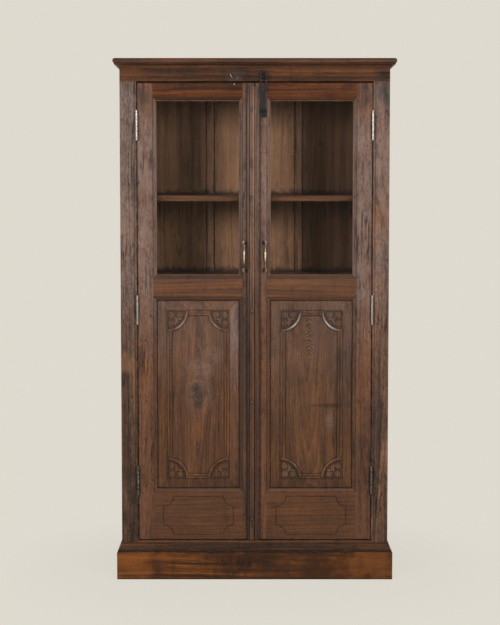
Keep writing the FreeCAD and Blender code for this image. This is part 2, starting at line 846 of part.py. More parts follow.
def indented_frame(name, across, heights, corner, radius, rod_radius, plane):
    """Round bars along a rectangle whose corners are scooped by quarter circles.

    corner is the centre of the lower left scoop, mirrored to the other three.
    """
    middle_x = (across[0] + across[1]) / 2
    middle_z = (heights[0] + heights[1]) / 2
    centre_x = (corner[0], middle_x * 2 - corner[0])
    centre_z = (corner[1], middle_z * 2 - corner[1])
    step_x = leg(radius, heights[0] - corner[1])
    step_z = leg(radius, across[0] - corner[0])
    run_x = (centre_x[0] + step_x, centre_x[1] - step_x)
    run_z = (centre_z[0] + step_z, centre_z[1] - step_z)
    bars, knots = [], []
    for end in (0, 1):
        bars.append(
            rod(f"{name}_across_{end}", rod_radius, run_x[1] - run_x[0], run_x[0], plane,
                heights[end], ALONG_X)
        )
        bars.append(
            rod(f"{name}_upright_{end}", rod_radius, run_z[1] - run_z[0], across[end], plane,
                run_z[0], ALONG_Z)
        )
        knots += [(run_x[side], heights[end]) for side in (0, 1)]
        knots += [(across[end], run_z[side]) for side in (0, 1)]
    left, right = Vector(-1, 0, 0), Vector(1, 0, 0)
    down, up = Vector(0, 0, -1), Vector(0, 0, 1)
    quarters = (
        (0, 0, up, right), (0, 1, right, down), (1, 1, down, left), (1, 0, left, up)
    )
    scoops = []
    for side, end, start, stop in quarters:
        turn = Rotation(start, stop, Vector(0, 1, 0), "XYZ")
        spot = (centre_x[side], plane, centre_z[end])
        bars.append(
            bend(f"{name}_scoop_{side}{end}", radius, rod_radius, 90, *spot, turn)
        )
        scoops.append((centre_x[side], centre_z[end], turn))
    return bars, knots, scoops


def quarter_disc(name, radius, depth, x, y, z, turn):
    item = rod(name, radius, depth, x, y, z, turn)
    item.Angle = 90
    return item


def carved_panel():
    """Raised panel: bevelled margins, a round bead with scooped corners, a sunk field within
    it and sunk spandrels outside it. Returns it and the tool for its groove."""
    opening = ((opening_left, opening_right), (panel_foot, panel_head))
    tongue_front = front + s.carved_tongue_setback
    tongue_back = tongue_front + s.carved_tongue_thickness
    tongue = [grown(span, s.carved_tongue_width) for span in opening]
    board = box("carved_board", tongue[0], (tongue_front, tongue_back), tongue[1])
    groove = box(
        "carved_groove",
        grown(tongue[0], s.groove_end_clearance),
        grown((tongue_front, tongue_back), s.groove_clearance),
        grown(tongue[1], s.groove_end_clearance),
    )
    face = front + s.carved_face_setback
    low = [grown(span, -s.carved_bevel_clearance) for span in opening]
    high = [grown(span, -s.carved_bevel_width) for span in opening]
    raised = wedge(
        "carved_raised", (*high[0], *high[1], face), (*low[0], *low[1], tongue_front),
        ZERO, ZERO, ZERO, ALONG_Z,
    )
    bead = [grown(span, -s.carved_bead_inset) for span in high]
    corner = [span[0] + s.carved_corner_inset for span in high]
    # the straight run of the head bead leaves each scoop its radius
    scoop_span = (high[0][1] - high[0][0]) / 2 - s.carved_corner_inset - s.carved_bead_run / 2
    radius = hypotenuse(scoop_span, s.carved_bead_inset - s.carved_corner_inset)
    thick = s.carved_bead_radius
    bars, knots, scoops = indented_frame("carved_bead", *bead, corner, radius, thick, face)
    bosses = [
        ball(f"carved_knot_{i}", thick + s.carved_bead_knot, x, face, z)
        for i, (x, z) in enumerate(knots)
    ]
    over = s.cut_overrun
    field = box(
        "carved_field_box", bead[0], (face - over, face + s.carved_field_sink), bead[1]
    )
    corner_posts = [
        quarter_disc(
            f"carved_field_corner_{i}", radius, s.carved_field_sink + over * 2,
            x, face - over, z, turn,
        )
        for i, (x, z, turn) in enumerate(scoops)
    ]
    spandrels = [
        quarter_disc(
            f"carved_spandrel_{i}", radius - thick - s.carved_spandrel_margin,
            s.carved_spandrel_sink + over, x, face - over, z, turn,
        )
        for i, (x, z, turn) in enumerate(scoops)
    ]
    sunk = cut(
        "carved_sunk", fuse("carved_blank", board, raised),
        cut("carved_field", field, *corner_posts), *spandrels,
    )
    return fuse("door_left_panel", sunk, *bars, *bosses), groove


def cartouche():
    """The line cut into the bottom rail of a door, with scooped corners."""
    across = grown((opening_left, opening_right), -s.cartouche_side_inset)
    heights = (door_foot + s.cartouche_foot_inset, panel_foot - s.cartouche_head_inset)
    corner = (across[0], heights[0])
    bars, _, _ = indented_frame(
        "cartouche", across, heights, corner,
        s.cartouche_corner_radius, s.cartouche_line_radius, front,
    )
    return bars


def glazing():
    """Pane and beads in a rebate open to the back: returns them and the rebate tool."""
    across, heights = (opening_left, opening_right), (pane_foot, pane_head)
    shoulder = front + s.glass_setback
    rebate = box(
        "rebate", grown(across, s.rebate_width), (shoulder, door_back + s.cut_overrun),
        grown(heights, s.rebate_width),
    )
    room_x = grown(across, s.rebate_width - s.glass_edge_clearance)
    room_z = grown(heights, s.rebate_width - s.glass_edge_clearance)
    pane_back = shoulder + s.glass_thickness
    pane = box("door_left_glass", room_x, (shoulder, pane_back), room_z)
    depth = (pane_back, pane_back + s.glazing_bead_depth)
    bead_x = grown(across, s.rebate_width)
    bead_z = grown(heights, s.rebate_width)
    beads = group(
        "door_left_glazing_beads",
        box("glazing_bead_left", (bead_x[0], across[0]), depth, bead_z),
        box("glazing_bead_right", (across[1], bead_x[1]), depth, bead_z),
        box("glazing_bead_foot", across, depth, (bead_z[0], heights[0])),
        box("glazing_bead_head", across, depth, (heights[1], bead_z[1])),
    )
    return pane, beads, rebate


def cover_strip(name, corners, arcs, x, foot, length):
    """A moulded strip padded upwards from its section."""
    body = doc.addObject("PartDesign::Body", name)
    section = body_sketch(body, f"{name}_section", "XY_Plane")
    draw(section, corners, arcs)
    pad = body.newObject("PartDesign::Pad", f"{name}_pad")
    pad.Profile = section
    bind(pad, Length=length)
    return place(body, x, front, foot)


def meeting_strips():
    """The nailed cover strip of the left door and the narrow bead of the right door."""
    length = door_head - s.strip_head_drop - door_foot
    wide, narrow = s.left_strip_width, s.right_strip_width
    shoulder, bead, crown = -s.strip_shoulder, s.strip_bead_width, -s.strip_crown_edge
    flat = bead + s.strip_groove
    left = cover_strip(
        "left_strip_whole",
        [(ZERO, ZERO), (ZERO, shoulder), (bead, shoulder), (flat, shoulder), (flat, crown),
         (wide, crown), (wide, ZERO)],
        {1: (s.strip_bead_radius, 1), 4: (s.strip_crown_radius, 1)},
        meeting_edge - wide, door_foot, length,
    )
    right = cover_strip(
        "door_right_meeting_strip",
        [(ZERO, ZERO), (ZERO, shoulder), (bead, shoulder), (narrow, -s.strip_feather),
         (narrow, ZERO)],
        {1: (s.strip_bead_radius, 1)},
        -meeting_edge, door_foot, length,
    )
    x = meeting_edge - (wide - flat) / 2
    seat = front - s.strip_thickness + s.nail_head_seat
    nails = []
    for i, share in enumerate(NAIL_HEIGHT_SHARES):
        z = door_foot + length * share
        head = doc.addObject("Part::Ellipsoid", f"nail_head_{i}")
        head.Angle1 = 0
        bind(head, Radius1=s.nail_head_height + s.nail_head_seat, Radius2=s.nail_head_radius)
        place(head, x, seat, z, Rotation(Vector(1, 0, 0), 90))
        shank = rod(f"nail_shank_{i}", s.nail_shank_radius, s.nail_length, x, seat, z, ALONG_Y)
        nails.append(fuse(f"nail_{i}", head, shank))
    return left, right, nails


def hinge_spans():
    """Feet of the three hinges of a door, from the lowest up."""
    half = s.hinge_length / 2
    return [
        door_foot + s.hinge_foot_rise - half,
        door_foot + s.hinge_middle_rise - half,
        door_head - s.hinge_head_drop - half,
    ]


def hinge_leaf(name, foot, plate_x, knuckles):
    """A leaf let into the wood, with knuckles rolled round the pin."""
    depth = (front + s.hinge_leaf_setback, front + s.hinge_leaf_width)
    plate = box(f"{name}_plate", plate_x, depth, (foot, foot + s.hinge_length))
    pieces = [plate]
    slack = s.hinge_knuckle_gap / 2
    for i in knuckles:
        low = foot + s.hinge_length * KNUCKLE_SHARES[i] + slack
        high = foot + s.hinge_length * KNUCKLE_SHARES[i + 1] - slack
        pieces.append(box(f"{name}_tab_{i}", plate_x, (hinge_axis_y, depth[1]), (low, high)))
        pieces.append(
            rod(f"{name}_knuckle_{i}", s.hinge_knuckle_radius, high - low,
                hinge_axis_x, hinge_axis_y, low, ALONG_Z)
        )
    bore = rod(
        f"{name}_bore", s.hinge_pin_radius + s.hinge_fit, s.hinge_length + s.cut_overrun * 2,
        hinge_axis_x, hinge_axis_y, foot - s.cut_overrun, ALONG_Z,
    )
    return cut(name, fuse(f"{name}_whole", *pieces), bore)


def hinges():
    """Leaves and pins of the left-hand hinges, with the recesses for the leaves."""
    thick = s.hinge_leaf_thickness
    post_x = (-post_inner - thick, -post_inner)
    door_x = (hinge_edge, hinge_edge + thick)
    post_leaves, door_leaves, pins, post_cuts, door_cuts = [], [], [], [], []
    recess = (front - s.cut_overrun, front + s.hinge_leaf_width)
    for i, foot in enumerate(hinge_spans()):
        post_leaves.append(hinge_leaf(f"hinge_post_leaf_{i}", foot, post_x, (0, 2, 4)))
        door_leaves.append(hinge_leaf(f"hinge_door_leaf_{i}", foot, door_x, (1, 3)))
        head = foot + s.hinge_length
        pins.append(
            fuse(
                f"hinge_pin_{i}",
                rod(f"hinge_pin_shaft_{i}", s.hinge_pin_radius, s.hinge_length,
                    hinge_axis_x, hinge_axis_y, foot, ALONG_Z),
                rod(f"hinge_pin_head_{i}", s.hinge_pin_head_radius, s.hinge_pin_head_height,
                    hinge_axis_x, hinge_axis_y, head, ALONG_Z),
            )
        )
        post_cuts.append(box(f"hinge_post_recess_{i}", post_x, recess, (foot, head)))
        door_cuts.append(box(f"hinge_door_recess_{i}", door_x, recess, (foot, head)))
    return post_leaves, door_leaves, pins, post_cuts, door_cuts


def door_frame(rebate, groove, hinge_recesses, nails):
    """Stiles and rails of the left door."""
    across = (opening_left, opening_right)
    pane_strips = edge_strips("pane", across, (pane_foot, pane_head))
    panel_strips = edge_strips("panel", across, (panel_foot, panel_head))
    inner = grown(across, s.edge_width)
    thick = (front, door_back)
    width = s.edge_width
    rails, left_mortises, right_mortises = {}, [], []
    for name, heights, strips, cuts in (
        ("top_rail", (pane_head + width, door_head), [pane_strips["down"]], [rebate]),
        ("lock_rail", (panel_head + width, pane_foot - width),
         [pane_strips["up"], panel_strips["down"]], [rebate, groove]),
        ("bottom_rail", (door_foot, panel_foot - width), [panel_strips["up"]],
         [groove, *cartouche()]),
    ):
        node = f"door_left_{name}"
        rail, ends = tenoned(
            node, 0, [inner, thick, heights], 1,
            s.door_tenon_thickness, s.door_tenon_length, s.door_tenon_shoulder,
        )
        rails[node] = cut(node, fuse(f"{node}_edged", rail, *strips), *cuts)
        left_mortises.append(ends[0])
        right_mortises.append(ends[1])
    height = (door_foot, door_head)
    hinge_stile = fuse(
        "hinge_stile_edged", box("hinge_stile_board", (hinge_edge, inner[0]), thick, height),
        pane_strips["right"], panel_strips["right"],
    )
    meeting_stile = fuse(
        "meeting_stile_edged", box("meeting_stile_board", (inner[1], meeting_edge), thick, height),
        pane_strips["left"], panel_strips["left"],
    )
    rails["door_left_hinge_stile"] = cut(
        "door_left_hinge_stile", hinge_stile, rebate, groove, *left_mortises, *hinge_recesses
    )
    plain = cut("meeting_stile_plain", meeting_stile, rebate, groove, *right_mortises)
    rails["door_left_meeting_stile"] = cut("door_left_meeting_stile", plain, *nails)
    right = {
        name.replace("left", "right"): mirrored(name.replace("left", "right"), piece)
        for name, piece in rails.items()
        if name != "door_left_meeting_stile"
    }
    right["door_right_meeting_stile"] = mirrored("door_right_meeting_stile", plain)
    return rails | right


def handle(name, x):
    """A bow handle: two turned roses, a bent rod between them and a swelled grip."""
    body = doc.addObject("PartDesign::Body", name)
    half = s.handle_centres / 2
    rose = body_sketch(body, f"{name}_rose_section", "YZ_Plane")
    rim, height, radius, dome = -s.rose_rim, -s.rose_height, s.rose_radius, s.rose_dome_radius
    draw(
        rose, [(ZERO, half), (ZERO, half + radius), (rim, half + radius), (height, half)],
        {2: (dome, 1)},
    )
    turned = body.newObject("PartDesign::Revolution", f"{name}_rose")
    turned.Profile = rose
    turned.ReferenceAxis = (rose, ["Edge4"])
    turned.Angle = 360
    twin = body.newObject("PartDesign::Mirrored", f"{name}_roses")
    twin.Originals = [turned]
    plane = next(item for item in body.Origin.OriginFeatures if item.Role == "XY_Plane")
    twin.MirrorPlane = (plane, [""])
    body.Tip = twin
    grip_y = s.handle_grip_radius - s.handle_reach
    turn = s.handle_bend_radius
    path = body_sketch(body, f"{name}_path", "YZ_Plane")
    draw(
        path,
        [(rim, -half), (grip_y + turn, -half), (grip_y, turn - half), (grip_y, half - turn),
         (grip_y + turn, half), (rim, half)],
        {1: (turn, -1), 3: (turn, -1)}, closed=False,
    )
    section = body_sketch(body, f"{name}_rod_section", "XZ_Plane")
    ring(section, s.handle_rod_radius, ZERO, -half)
    section.AttachmentOffset = FreeCAD.Placement(Vector(0, 0, s.rose_rim.value), Rotation())
    section.setExpression("AttachmentOffset.Base.z", s.rose_rim.expression)
    pipe = body.newObject("PartDesign::AdditivePipe", f"{name}_rod")
    pipe.Profile = section
    pipe.Spine = path
    grip = body_sketch(body, f"{name}_grip_section", "YZ_Plane")
    reach = s.handle_grip_length / 2
    swell = s.handle_grip_radius - s.handle_rod_radius
    swell_radius = bulge_radius(reach, swell)
    draw(
        grip,
        [(grip_y, -reach), (grip_y, reach), (grip_y - s.handle_rod_radius, reach),
         (grip_y - s.handle_rod_radius, -reach)],
        {2: (swell_radius, 1)},
    )
    swelled = body.newObject("PartDesign::Revolution", f"{name}_grip")
    swelled.Profile = grip
    swelled.ReferenceAxis = (grip, ["Edge1"])
    swelled.Angle = 360
    body.Tip = swelled
    return place(body, x, front, s.handle_height)


def bulge_radius(half_chord, rise):
    """Radius of the arc that rises by this much over a chord."""
    a, b = half_chord.expression, rise.expression
    value = (half_chord.value**2 + rise.value**2) / (2 * rise.value)
    return Size(f"(({a} * {a} + {b} * {b}) / (2 * {b}))", value)


def hasp_pieces():
    """The hasp, the plate that it pivots on and the pin through both."""
    knuckle, gap = s.hasp_knuckle_length, s.hasp_knuckle_gap
    radius = s.hasp_knuckle_radius
    inner = centred(hasp_x, knuckle)
    outer = ((inner[0] - gap - knuckle, inner[0] - gap), (inner[1] + gap, inner[1] + gap + knuckle))
    ends = (outer[0][0], outer[1][1])

    def knuckle_rod(name, span):
        return rod(name, radius, span[1] - span[0], span[0], hasp_axis_y, hasp_axis_z, ALONG_X)

    bore = rod(
        "hasp_bore", s.hasp_pin_radius + s.hasp_fit, ends[1] - ends[0] + s.cut_overrun * 2,
        ends[0] - s.cut_overrun, hasp_axis_y, hasp_axis_z, ALONG_X,
    )
    plate_face = front - s.hasp_plate_thickness
    plate_head = hasp_axis_z - radius - gap
    tab_foot = hasp_axis_z - s.hasp_tab_height
    plate_foot = hasp_axis_z - s.hasp_plate_height
    plate = box("hasp_plate_flat", ends, (plate_face, front), (plate_foot, plate_head))
    tabs = [
        box(f"hasp_plate_tab_{i}", span, (hasp_axis_y, front), (tab_foot, hasp_axis_z))
        for i, span in enumerate(outer)
    ]
    rolls = [knuckle_rod(f"hasp_plate_knuckle_{i}", span) for i, span in enumerate(outer)]
    hasp_plate = cut("hasp_plate", fuse("hasp_plate_whole", plate, *tabs, *rolls), bore)
    pin = rod(
        "hasp_pin", s.hasp_pin_radius, ends[1] - ends[0], ends[0], hasp_axis_y, hasp_axis_z, ALONG_X
    )
    return {"hasp_plate": hasp_plate, "hasp_pin": pin, "hasp": hasp()}


def hasp():
    """A flat forged hasp: a strap that widens into a slotted loop, with a rolled knuckle."""
    body = doc.addObject("PartDesign::Body", "hasp")
    neck, strap, loop = s.hasp_knuckle_length / 2, s.hasp_strap_width / 2, s.hasp_loop_width / 2
    foot, shoulder, flare = s.hasp_strap_foot, s.hasp_loop_rise, s.hasp_loop_rise + s.hasp_flare
    head = shoulder + s.hasp_loop_height
    slot = loop - s.hasp_bar_width
    slot_low = flare + slot
    slot_high = head - loop
    right_side = [
        (neck, ZERO), (neck, foot), (strap, foot), (strap, shoulder), (loop, flare),
        (loop, slot_high),
    ]
    left_side = [(-u, v) for u, v in reversed(right_side)]
    outline = body_sketch(body, "hasp_outline", "XZ_Plane")
    last = len(right_side) - 1
    draw(outline, right_side + [(ZERO, head)] + left_side, {last: (loop, 1), last + 1: (loop, 1)})
    draw(
        outline,
        [(slot, slot_low), (slot, slot_high), (ZERO, slot_high + slot), (-slot, slot_high),
         (-slot, slot_low), (ZERO, slot_low - slot)],
        {1: (slot, 1), 2: (slot, 1), 4: (slot, 1), 5: (slot, 1)},
    )
    flat = body.newObject("PartDesign::Pad", "hasp_flat")
    flat.Profile = outline
    bind(flat, Length=s.hasp_thickness)
    doc.recompute()
    faced = -s.hasp_thickness.value + s.hasp_edge_round.value / 2
    edges = enumerate(flat.Shape.Edges, start=1)
    rounded = [f"Edge{i}" for i, edge in edges if edge.BoundBox.YMax < faced]
    eased = body.newObject("PartDesign::Fillet", "hasp_edges")
    eased.Base = (flat, rounded)
    bind(eased, Radius=s.hasp_edge_round)
    axis_y = s.hasp_face_gap - s.hasp_axis_offset
    for kind, name, radius in (
        ("Pad", "hasp_knuckle", s.hasp_knuckle_radius),
        ("Pocket", "hasp_bore", s.hasp_pin_radius + s.hasp_fit),
    ):
        circle = body_sketch(body, f"{name}_circle", "YZ_Plane")
        ring(circle, radius, axis_y, ZERO)
        roll = body.newObject(f"PartDesign::{kind}", name)
        roll.Profile = circle
        roll.Midplane = True
        over = ZERO if kind == "Pad" else s.cut_overrun
        bind(roll, Length=s.hasp_knuckle_length + over)
    return place(body, hasp_x, front - s.hasp_face_gap, hasp_axis_z)


def build():
    """Every node of the cupboard, by name."""
    nodes = {}
    nodes.update(plinth())
    nodes.update(base_moulding())
    nodes.update(cornice())
    nodes.update(top_board())
    nodes.update(shelves())
    side_rails, side_panels, front_cuts, back_cuts = side_frame()
    rail_pieces, rail_mortises = front_rails()
    back_pieces, back_post_cuts = back_frame()
    post_leaves, door_leaves, pins, post_recesses, door_recesses = hinges()
    nodes.update(rail_pieces)
    nodes.update(back_pieces)
    nodes.update(
        posts(front_cuts + rail_mortises + post_recesses, back_cuts + back_post_cuts)
    )
    for name, pieces in (
        ("side_rails_left", side_rails),
        ("side_panels_left", side_panels),
        ("door_left_hinge_leaves", door_leaves),
    ):
        twin = name.replace("left", "right")
        nodes[name] = group(name, *pieces)
        nodes[twin] = mirrored(twin, nodes[name])
    for name, pieces in (("hinge_post_leaves", post_leaves), ("hinge_pins", pins)):
        left = group(f"{name}_of_left", *pieces)
        nodes[name] = group(name, left, mirrored(f"{name}_of_right", left))
    panel, groove = carved_panel()
    pane, beads, rebate = glazing()
    left_strip, right_strip, nails = meeting_strips()
    nodes.update(door_frame(rebate, groove, door_recesses, nails))
    for name, piece in (("panel", panel), ("glass", pane), ("glazing_beads", beads)):
        nodes[f"door_left_{name}"] = piece
        nodes[f"door_right_{name}"] = mirrored(f"door_right_{name}", piece)
    nodes["door_left_meeting_strip"] = cut("door_left_meeting_strip", left_strip, *nails)
    nodes["door_right_meeting_strip"] = right_strip
    nodes["door_left_strip_nails"] = group("door_left_strip_nails", *nails)
    nodes["door_left_handle"] = handle("door_left_handle", meeting_edge - s.handle_inset)
    nodes["door_right_handle"] = handle("door_right_handle", -meeting_edge + s.handle_inset)
    nodes.update(hasp_pieces())
    return nodes


def check(nodes):
    """Stops on any failed object, and on any node that is empty or not valid."""
    failed = [item.Name for item in doc.Objects if {"Invalid", "Error"} & set(item.State)]
    if failed:
        raise RuntimeError(f"failed objects: {failed}")
    for name, item in nodes.items():
        shape = item.Shape
        if shape.isNull() or not shape.isValid() or not shape.Solids:
            raise RuntimeError(f"bad shape: {name}")


def main():
    nodes = build()
    doc.recompute()
    check(nodes)
    os.makedirs("parts", exist_ok=True)
    for name, item in nodes.items():
        item.Label = name
        item.Shape.exportStep(os.path.join("parts", f"{name}.step"))


main()
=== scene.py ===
import json
import math

import bmesh
import bpy
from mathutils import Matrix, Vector

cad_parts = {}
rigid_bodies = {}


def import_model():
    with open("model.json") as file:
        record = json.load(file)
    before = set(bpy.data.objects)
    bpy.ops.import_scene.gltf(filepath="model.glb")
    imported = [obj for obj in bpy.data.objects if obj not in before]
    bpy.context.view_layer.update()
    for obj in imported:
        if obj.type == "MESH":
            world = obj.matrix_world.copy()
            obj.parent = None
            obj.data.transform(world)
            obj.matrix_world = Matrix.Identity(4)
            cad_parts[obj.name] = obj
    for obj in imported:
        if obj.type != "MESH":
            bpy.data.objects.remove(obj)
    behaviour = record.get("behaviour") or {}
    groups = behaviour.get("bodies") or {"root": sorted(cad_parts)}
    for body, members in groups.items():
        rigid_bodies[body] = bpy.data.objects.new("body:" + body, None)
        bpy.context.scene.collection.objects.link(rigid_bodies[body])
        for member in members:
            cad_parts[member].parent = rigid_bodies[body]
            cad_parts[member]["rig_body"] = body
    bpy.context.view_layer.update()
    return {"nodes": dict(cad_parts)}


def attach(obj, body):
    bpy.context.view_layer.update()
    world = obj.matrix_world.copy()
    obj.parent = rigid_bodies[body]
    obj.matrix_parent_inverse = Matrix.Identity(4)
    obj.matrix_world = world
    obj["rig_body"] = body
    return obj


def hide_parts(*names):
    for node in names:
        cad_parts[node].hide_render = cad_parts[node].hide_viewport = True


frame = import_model()
boards = frame["nodes"]


# Finishes


def srgb(red, green, blue):
    """A screen colour, 0 to 255, as linear light."""
    levels = (level / 255 for level in (red, green, blue))
    return (*(v / 12.92 if v <= 0.04045 else ((v + 0.055) / 1.055) ** 2.4 for v in levels), 1.0)


def feed(tree, node, inputs):
    """Gives each input a plain value, or the output that feeds it, and returns the node's outputs."""
    for name, value in inputs.items():
        if isinstance(value, bpy.types.NodeSocket):
            tree.links.new(value, node.inputs[name])
        else:
            node.inputs[name].default_value = value
    return node.outputs


def add(tree, kind, inputs=None, **settings):
    """Adds a node, sets it, feeds it and returns its outputs."""
    node = tree.nodes.new(f"ShaderNode{kind}")
    for name, value in settings.items():
        setattr(node, name, value)
    return feed(tree, node, inputs or {})


def reckon(tree, operation, first, second=0.0, clamp=False):
    return add(tree, "Math", {0: first, 1: second}, operation=operation, use_clamp=clamp)[0]


def times(tree, first, second):
    return reckon(tree, "MULTIPLY", first, second)


def vector_sum(tree, operation, first, second=(0.0, 0.0, 0.0)):
    return add(tree, "VectorMath", {0: first, 1: second}, operation=operation)[0]


def lengthened(tree, vector, amount):
    return add(tree, "VectorMath", {0: vector, "Scale": amount}, operation="SCALE")[0]


def drawn(tree, vector, share):
    """Coordinates shortened along Z, so that a pattern on them is drawn out that way."""
    return vector_sum(tree, "MULTIPLY", vector, (1.0, 1.0, share))


def length(tree, vector):
    return add(tree, "VectorMath", {0: vector}, operation="LENGTH")["Value"]


def height_of(tree, place):
    return add(tree, "SeparateXYZ", {0: place})["Z"]


def marked(tree, name):
    """What the faces of a piece are marked with under that name."""
    return add(tree, "Attribute", attribute_name=name)["Fac"]


def band(tree, value, low, high, bottom=0.0, top=1.0):
    """Rises softly from bottom to top while the value goes from low to high."""
    inputs = {"Value": value, "From Min": low, "From Max": high, "To Min": bottom, "To Max": top}
    return add(tree, "MapRange", inputs, interpolation_type="SMOOTHSTEP")["Result"]


def tint(tree, share, first, second):
    """The first colour, covered by the second as far as the share says."""
    return add(tree, "Mix", {0: share, 6: first, 7: second}, data_type="RGBA")[2]


def noise(tree, vector, scale, detail=2.0, roughness=0.5, output="Fac"):
    inputs = {"Vector": vector, "Scale": scale, "Detail": detail, "Roughness": roughness}
    return add(tree, "TexNoise", inputs)[output]


def new_group(name, vectors, values=()):
    """A node group with the named inputs: returns its tree and what the inputs give."""
    tree = bpy.data.node_groups.new(name, "ShaderNodeTree")
    for label in (*vectors, *values):
        kind = "NodeSocketVector" if label in vectors else "NodeSocketFloat"
        tree.interface.new_socket(label, in_out="INPUT", socket_type=kind)
    return tree, tree.nodes.new("NodeGroupInput").outputs


def closed_group(tree, outputs):
    """Gives a group its outputs, each a name and what feeds it."""
    for label, made in outputs.items():
        kind = "NodeSocketVector" if made.type == "VECTOR" else "NodeSocketFloat"
        tree.interface.new_socket(label, in_out="OUTPUT", socket_type=kind)
    feed(tree, tree.nodes.new("NodeGroupOutput"), outputs)
    return tree


def grain_group():
    """Growth rings about the Z axis, with streaks, fibre, pores and cracks drawn out along it."""
    tree, given = new_group("board_grain", ["Vector"], ["Ring Scale", "Wander"])
    place = given["Vector"]
    drift = noise(tree, drawn(tree, place, 0.08), 13.0, 3.0, output="Color")
    offset = vector_sum(tree, "SUBTRACT", drift, (0.5, 0.5, 0.5))
    bent = vector_sum(tree, "ADD", place, lengthened(tree, offset, given["Wander"]))
    rings = add(
        tree, "TexWave",
        {"Vector": drawn(tree, bent, 0.0), "Scale": given["Ring Scale"],
         "Distortion": 1.0, "Detail": 2.0, "Detail Scale": 1.2},
        wave_type="RINGS", rings_direction="Z", wave_profile="SAW",
    )["Fac"]
    streaks = noise(tree, drawn(tree, bent, 0.035), 42.0, 6.0, 0.66)
    fibre = noise(tree, drawn(tree, bent, 0.02), 520.0)
    tone = reckon(tree, "ADD", times(tree, rings, 0.3), band(tree, streaks, 0.28, 0.72, 0.0, 0.5))
    tone = reckon(tree, "ADD", tone, band(tree, fibre, 0.3, 0.7, 0.0, 0.2))
    pores = band(tree, noise(tree, drawn(tree, place, 0.05), 900.0, 1.0), 0.62, 0.74)
    split = noise(tree, drawn(tree, bent, 0.05), 34.0, 4.0, 0.6)
    middle = reckon(tree, "ABSOLUTE", reckon(tree, "SUBTRACT", split, 0.5))
    where = band(tree, noise(tree, place, 7.0), 0.44, 0.6)
    cracks = times(tree, band(tree, middle, 0.004, 0.022, 1.0, 0.0), where)
    relief = reckon(tree, "ADD", times(tree, fibre, 0.5), times(tree, rings, 0.2))
    relief = reckon(tree, "SUBTRACT", relief, times(tree, pores, 0.5))
    relief = reckon(tree, "SUBTRACT", relief, cracks)
    return closed_group(tree, {"Tone": tone, "Pores": pores, "Cracks": cracks, "Relief": relief})


PATCH = ["Vector", "Centre", "Closeness"]


def from_centre(tree, given):
    """How a point lies from a patch's centre: as it is, by the closeness, and how far that is."""
    apart = vector_sum(tree, "SUBTRACT", given["Vector"], given["Centre"])
    near = vector_sum(tree, "MULTIPLY", apart, given["Closeness"])
    return apart, near, length(tree, near)


def knot_group():
    """Grain that parts round a knot: the bent coordinates, the dark eye and the rings about it."""
    tree, given = new_group("board_knot", PATCH)
    apart, near, reach = from_centre(tree, given)
    inward = lengthened(tree, apart, band(tree, reach, 0.0, 1.0, 0.8, 0.0))
    across = vector_sum(tree, "MULTIPLY", inward, (1.0, 0.0, 0.0))
    rough = noise(tree, given["Vector"], 42.0, 5.0, 0.6)
    edge = reckon(tree, "ADD", reach, times(tree, rough, 1.2))
    swirl = add(
        tree, "TexWave",
        {"Vector": near, "Scale": 2.0, "Distortion": 6.0, "Detail": 2.0, "Detail Scale": 1.1},
        wave_type="RINGS", rings_direction="SPHERICAL", wave_profile="SAW",
    )["Fac"]
    return closed_group(tree, {
        "Vector": vector_sum(tree, "SUBTRACT", given["Vector"], across),
        "Eye": band(tree, edge, 0.6, 1.15, 1.0, 0.0),
        "Halo": band(tree, edge, 0.8, 1.6, 1.0, 0.0),
        "Tone": times(tree, swirl, 0.95),
        "Shown": band(tree, edge, 0.7, 1.3, 0.85, 0.0),
    })


def age_group():
    """Marks that years of use leave: blotches, grime, scuffs, specks, film and worn hollows."""
    tree, given = new_group("age_marks", ["Vector"])
    place = given["Vector"]
    tall = drawn(tree, place, 0.4)
    scuffs = band(tree, noise(tree, tall, 120.0, 5.0, 0.7), 0.6, 0.7)
    handled = band(tree, noise(tree, place, 9.0, 1.0), 0.48, 0.62)
    flecks = add(tree, "TexVoronoi", {"Vector": place, "Scale": 38.0})
    small = band(tree, flecks["Distance"], 0.04, 0.11, 1.0, 0.0)
    chosen = add(tree, "SeparateColor", {0: flecks["Color"]})[0]
    nicks = band(tree, noise(tree, tall, 210.0, 3.0, 0.6), 0.6, 0.68)
    battered = band(tree, noise(tree, place, 13.0, 3.0), 0.4, 0.6, 0.2, 1.0)
    return closed_group(tree, {
        "Blotch": band(tree, noise(tree, place, 6.0, 5.0, 0.6), 0.38, 0.68),
        "Grime": band(tree, noise(tree, tall, 30.0, 7.0, 0.7), 0.54, 0.7),
        "Scuffs": times(tree, scuffs, handled),
        "Specks": times(tree, small, band(tree, chosen, 0.72, 0.76)),
        "Nicks": times(tree, nicks, battered),
        "Film": band(tree, noise(tree, drawn(tree, place, 0.3), 48.0, 6.0, 0.7), 0.3, 0.66, 0.3, 1.0),
        "Mottle": band(tree, noise(tree, tall, 150.0, 5.0, 0.75), 0.45, 0.62),
        "Hollows": noise(tree, place, 21.0, 3.0),
    })


def edge_group():
    """Where the arrises of a board have lost their colour, and where the corner beads and carving carry a
    painted highlight.
    """
    tree, given = new_group("rubbed_edges", ["Vector"])
    uneven = band(tree, noise(tree, given["Vector"], 30.0, 4.0, 0.6), 0.4, 0.65)
    return closed_group(tree, {"Rubbed And Highlit": times(tree, marked(tree, "rubbed_and_highlit"), uneven)})


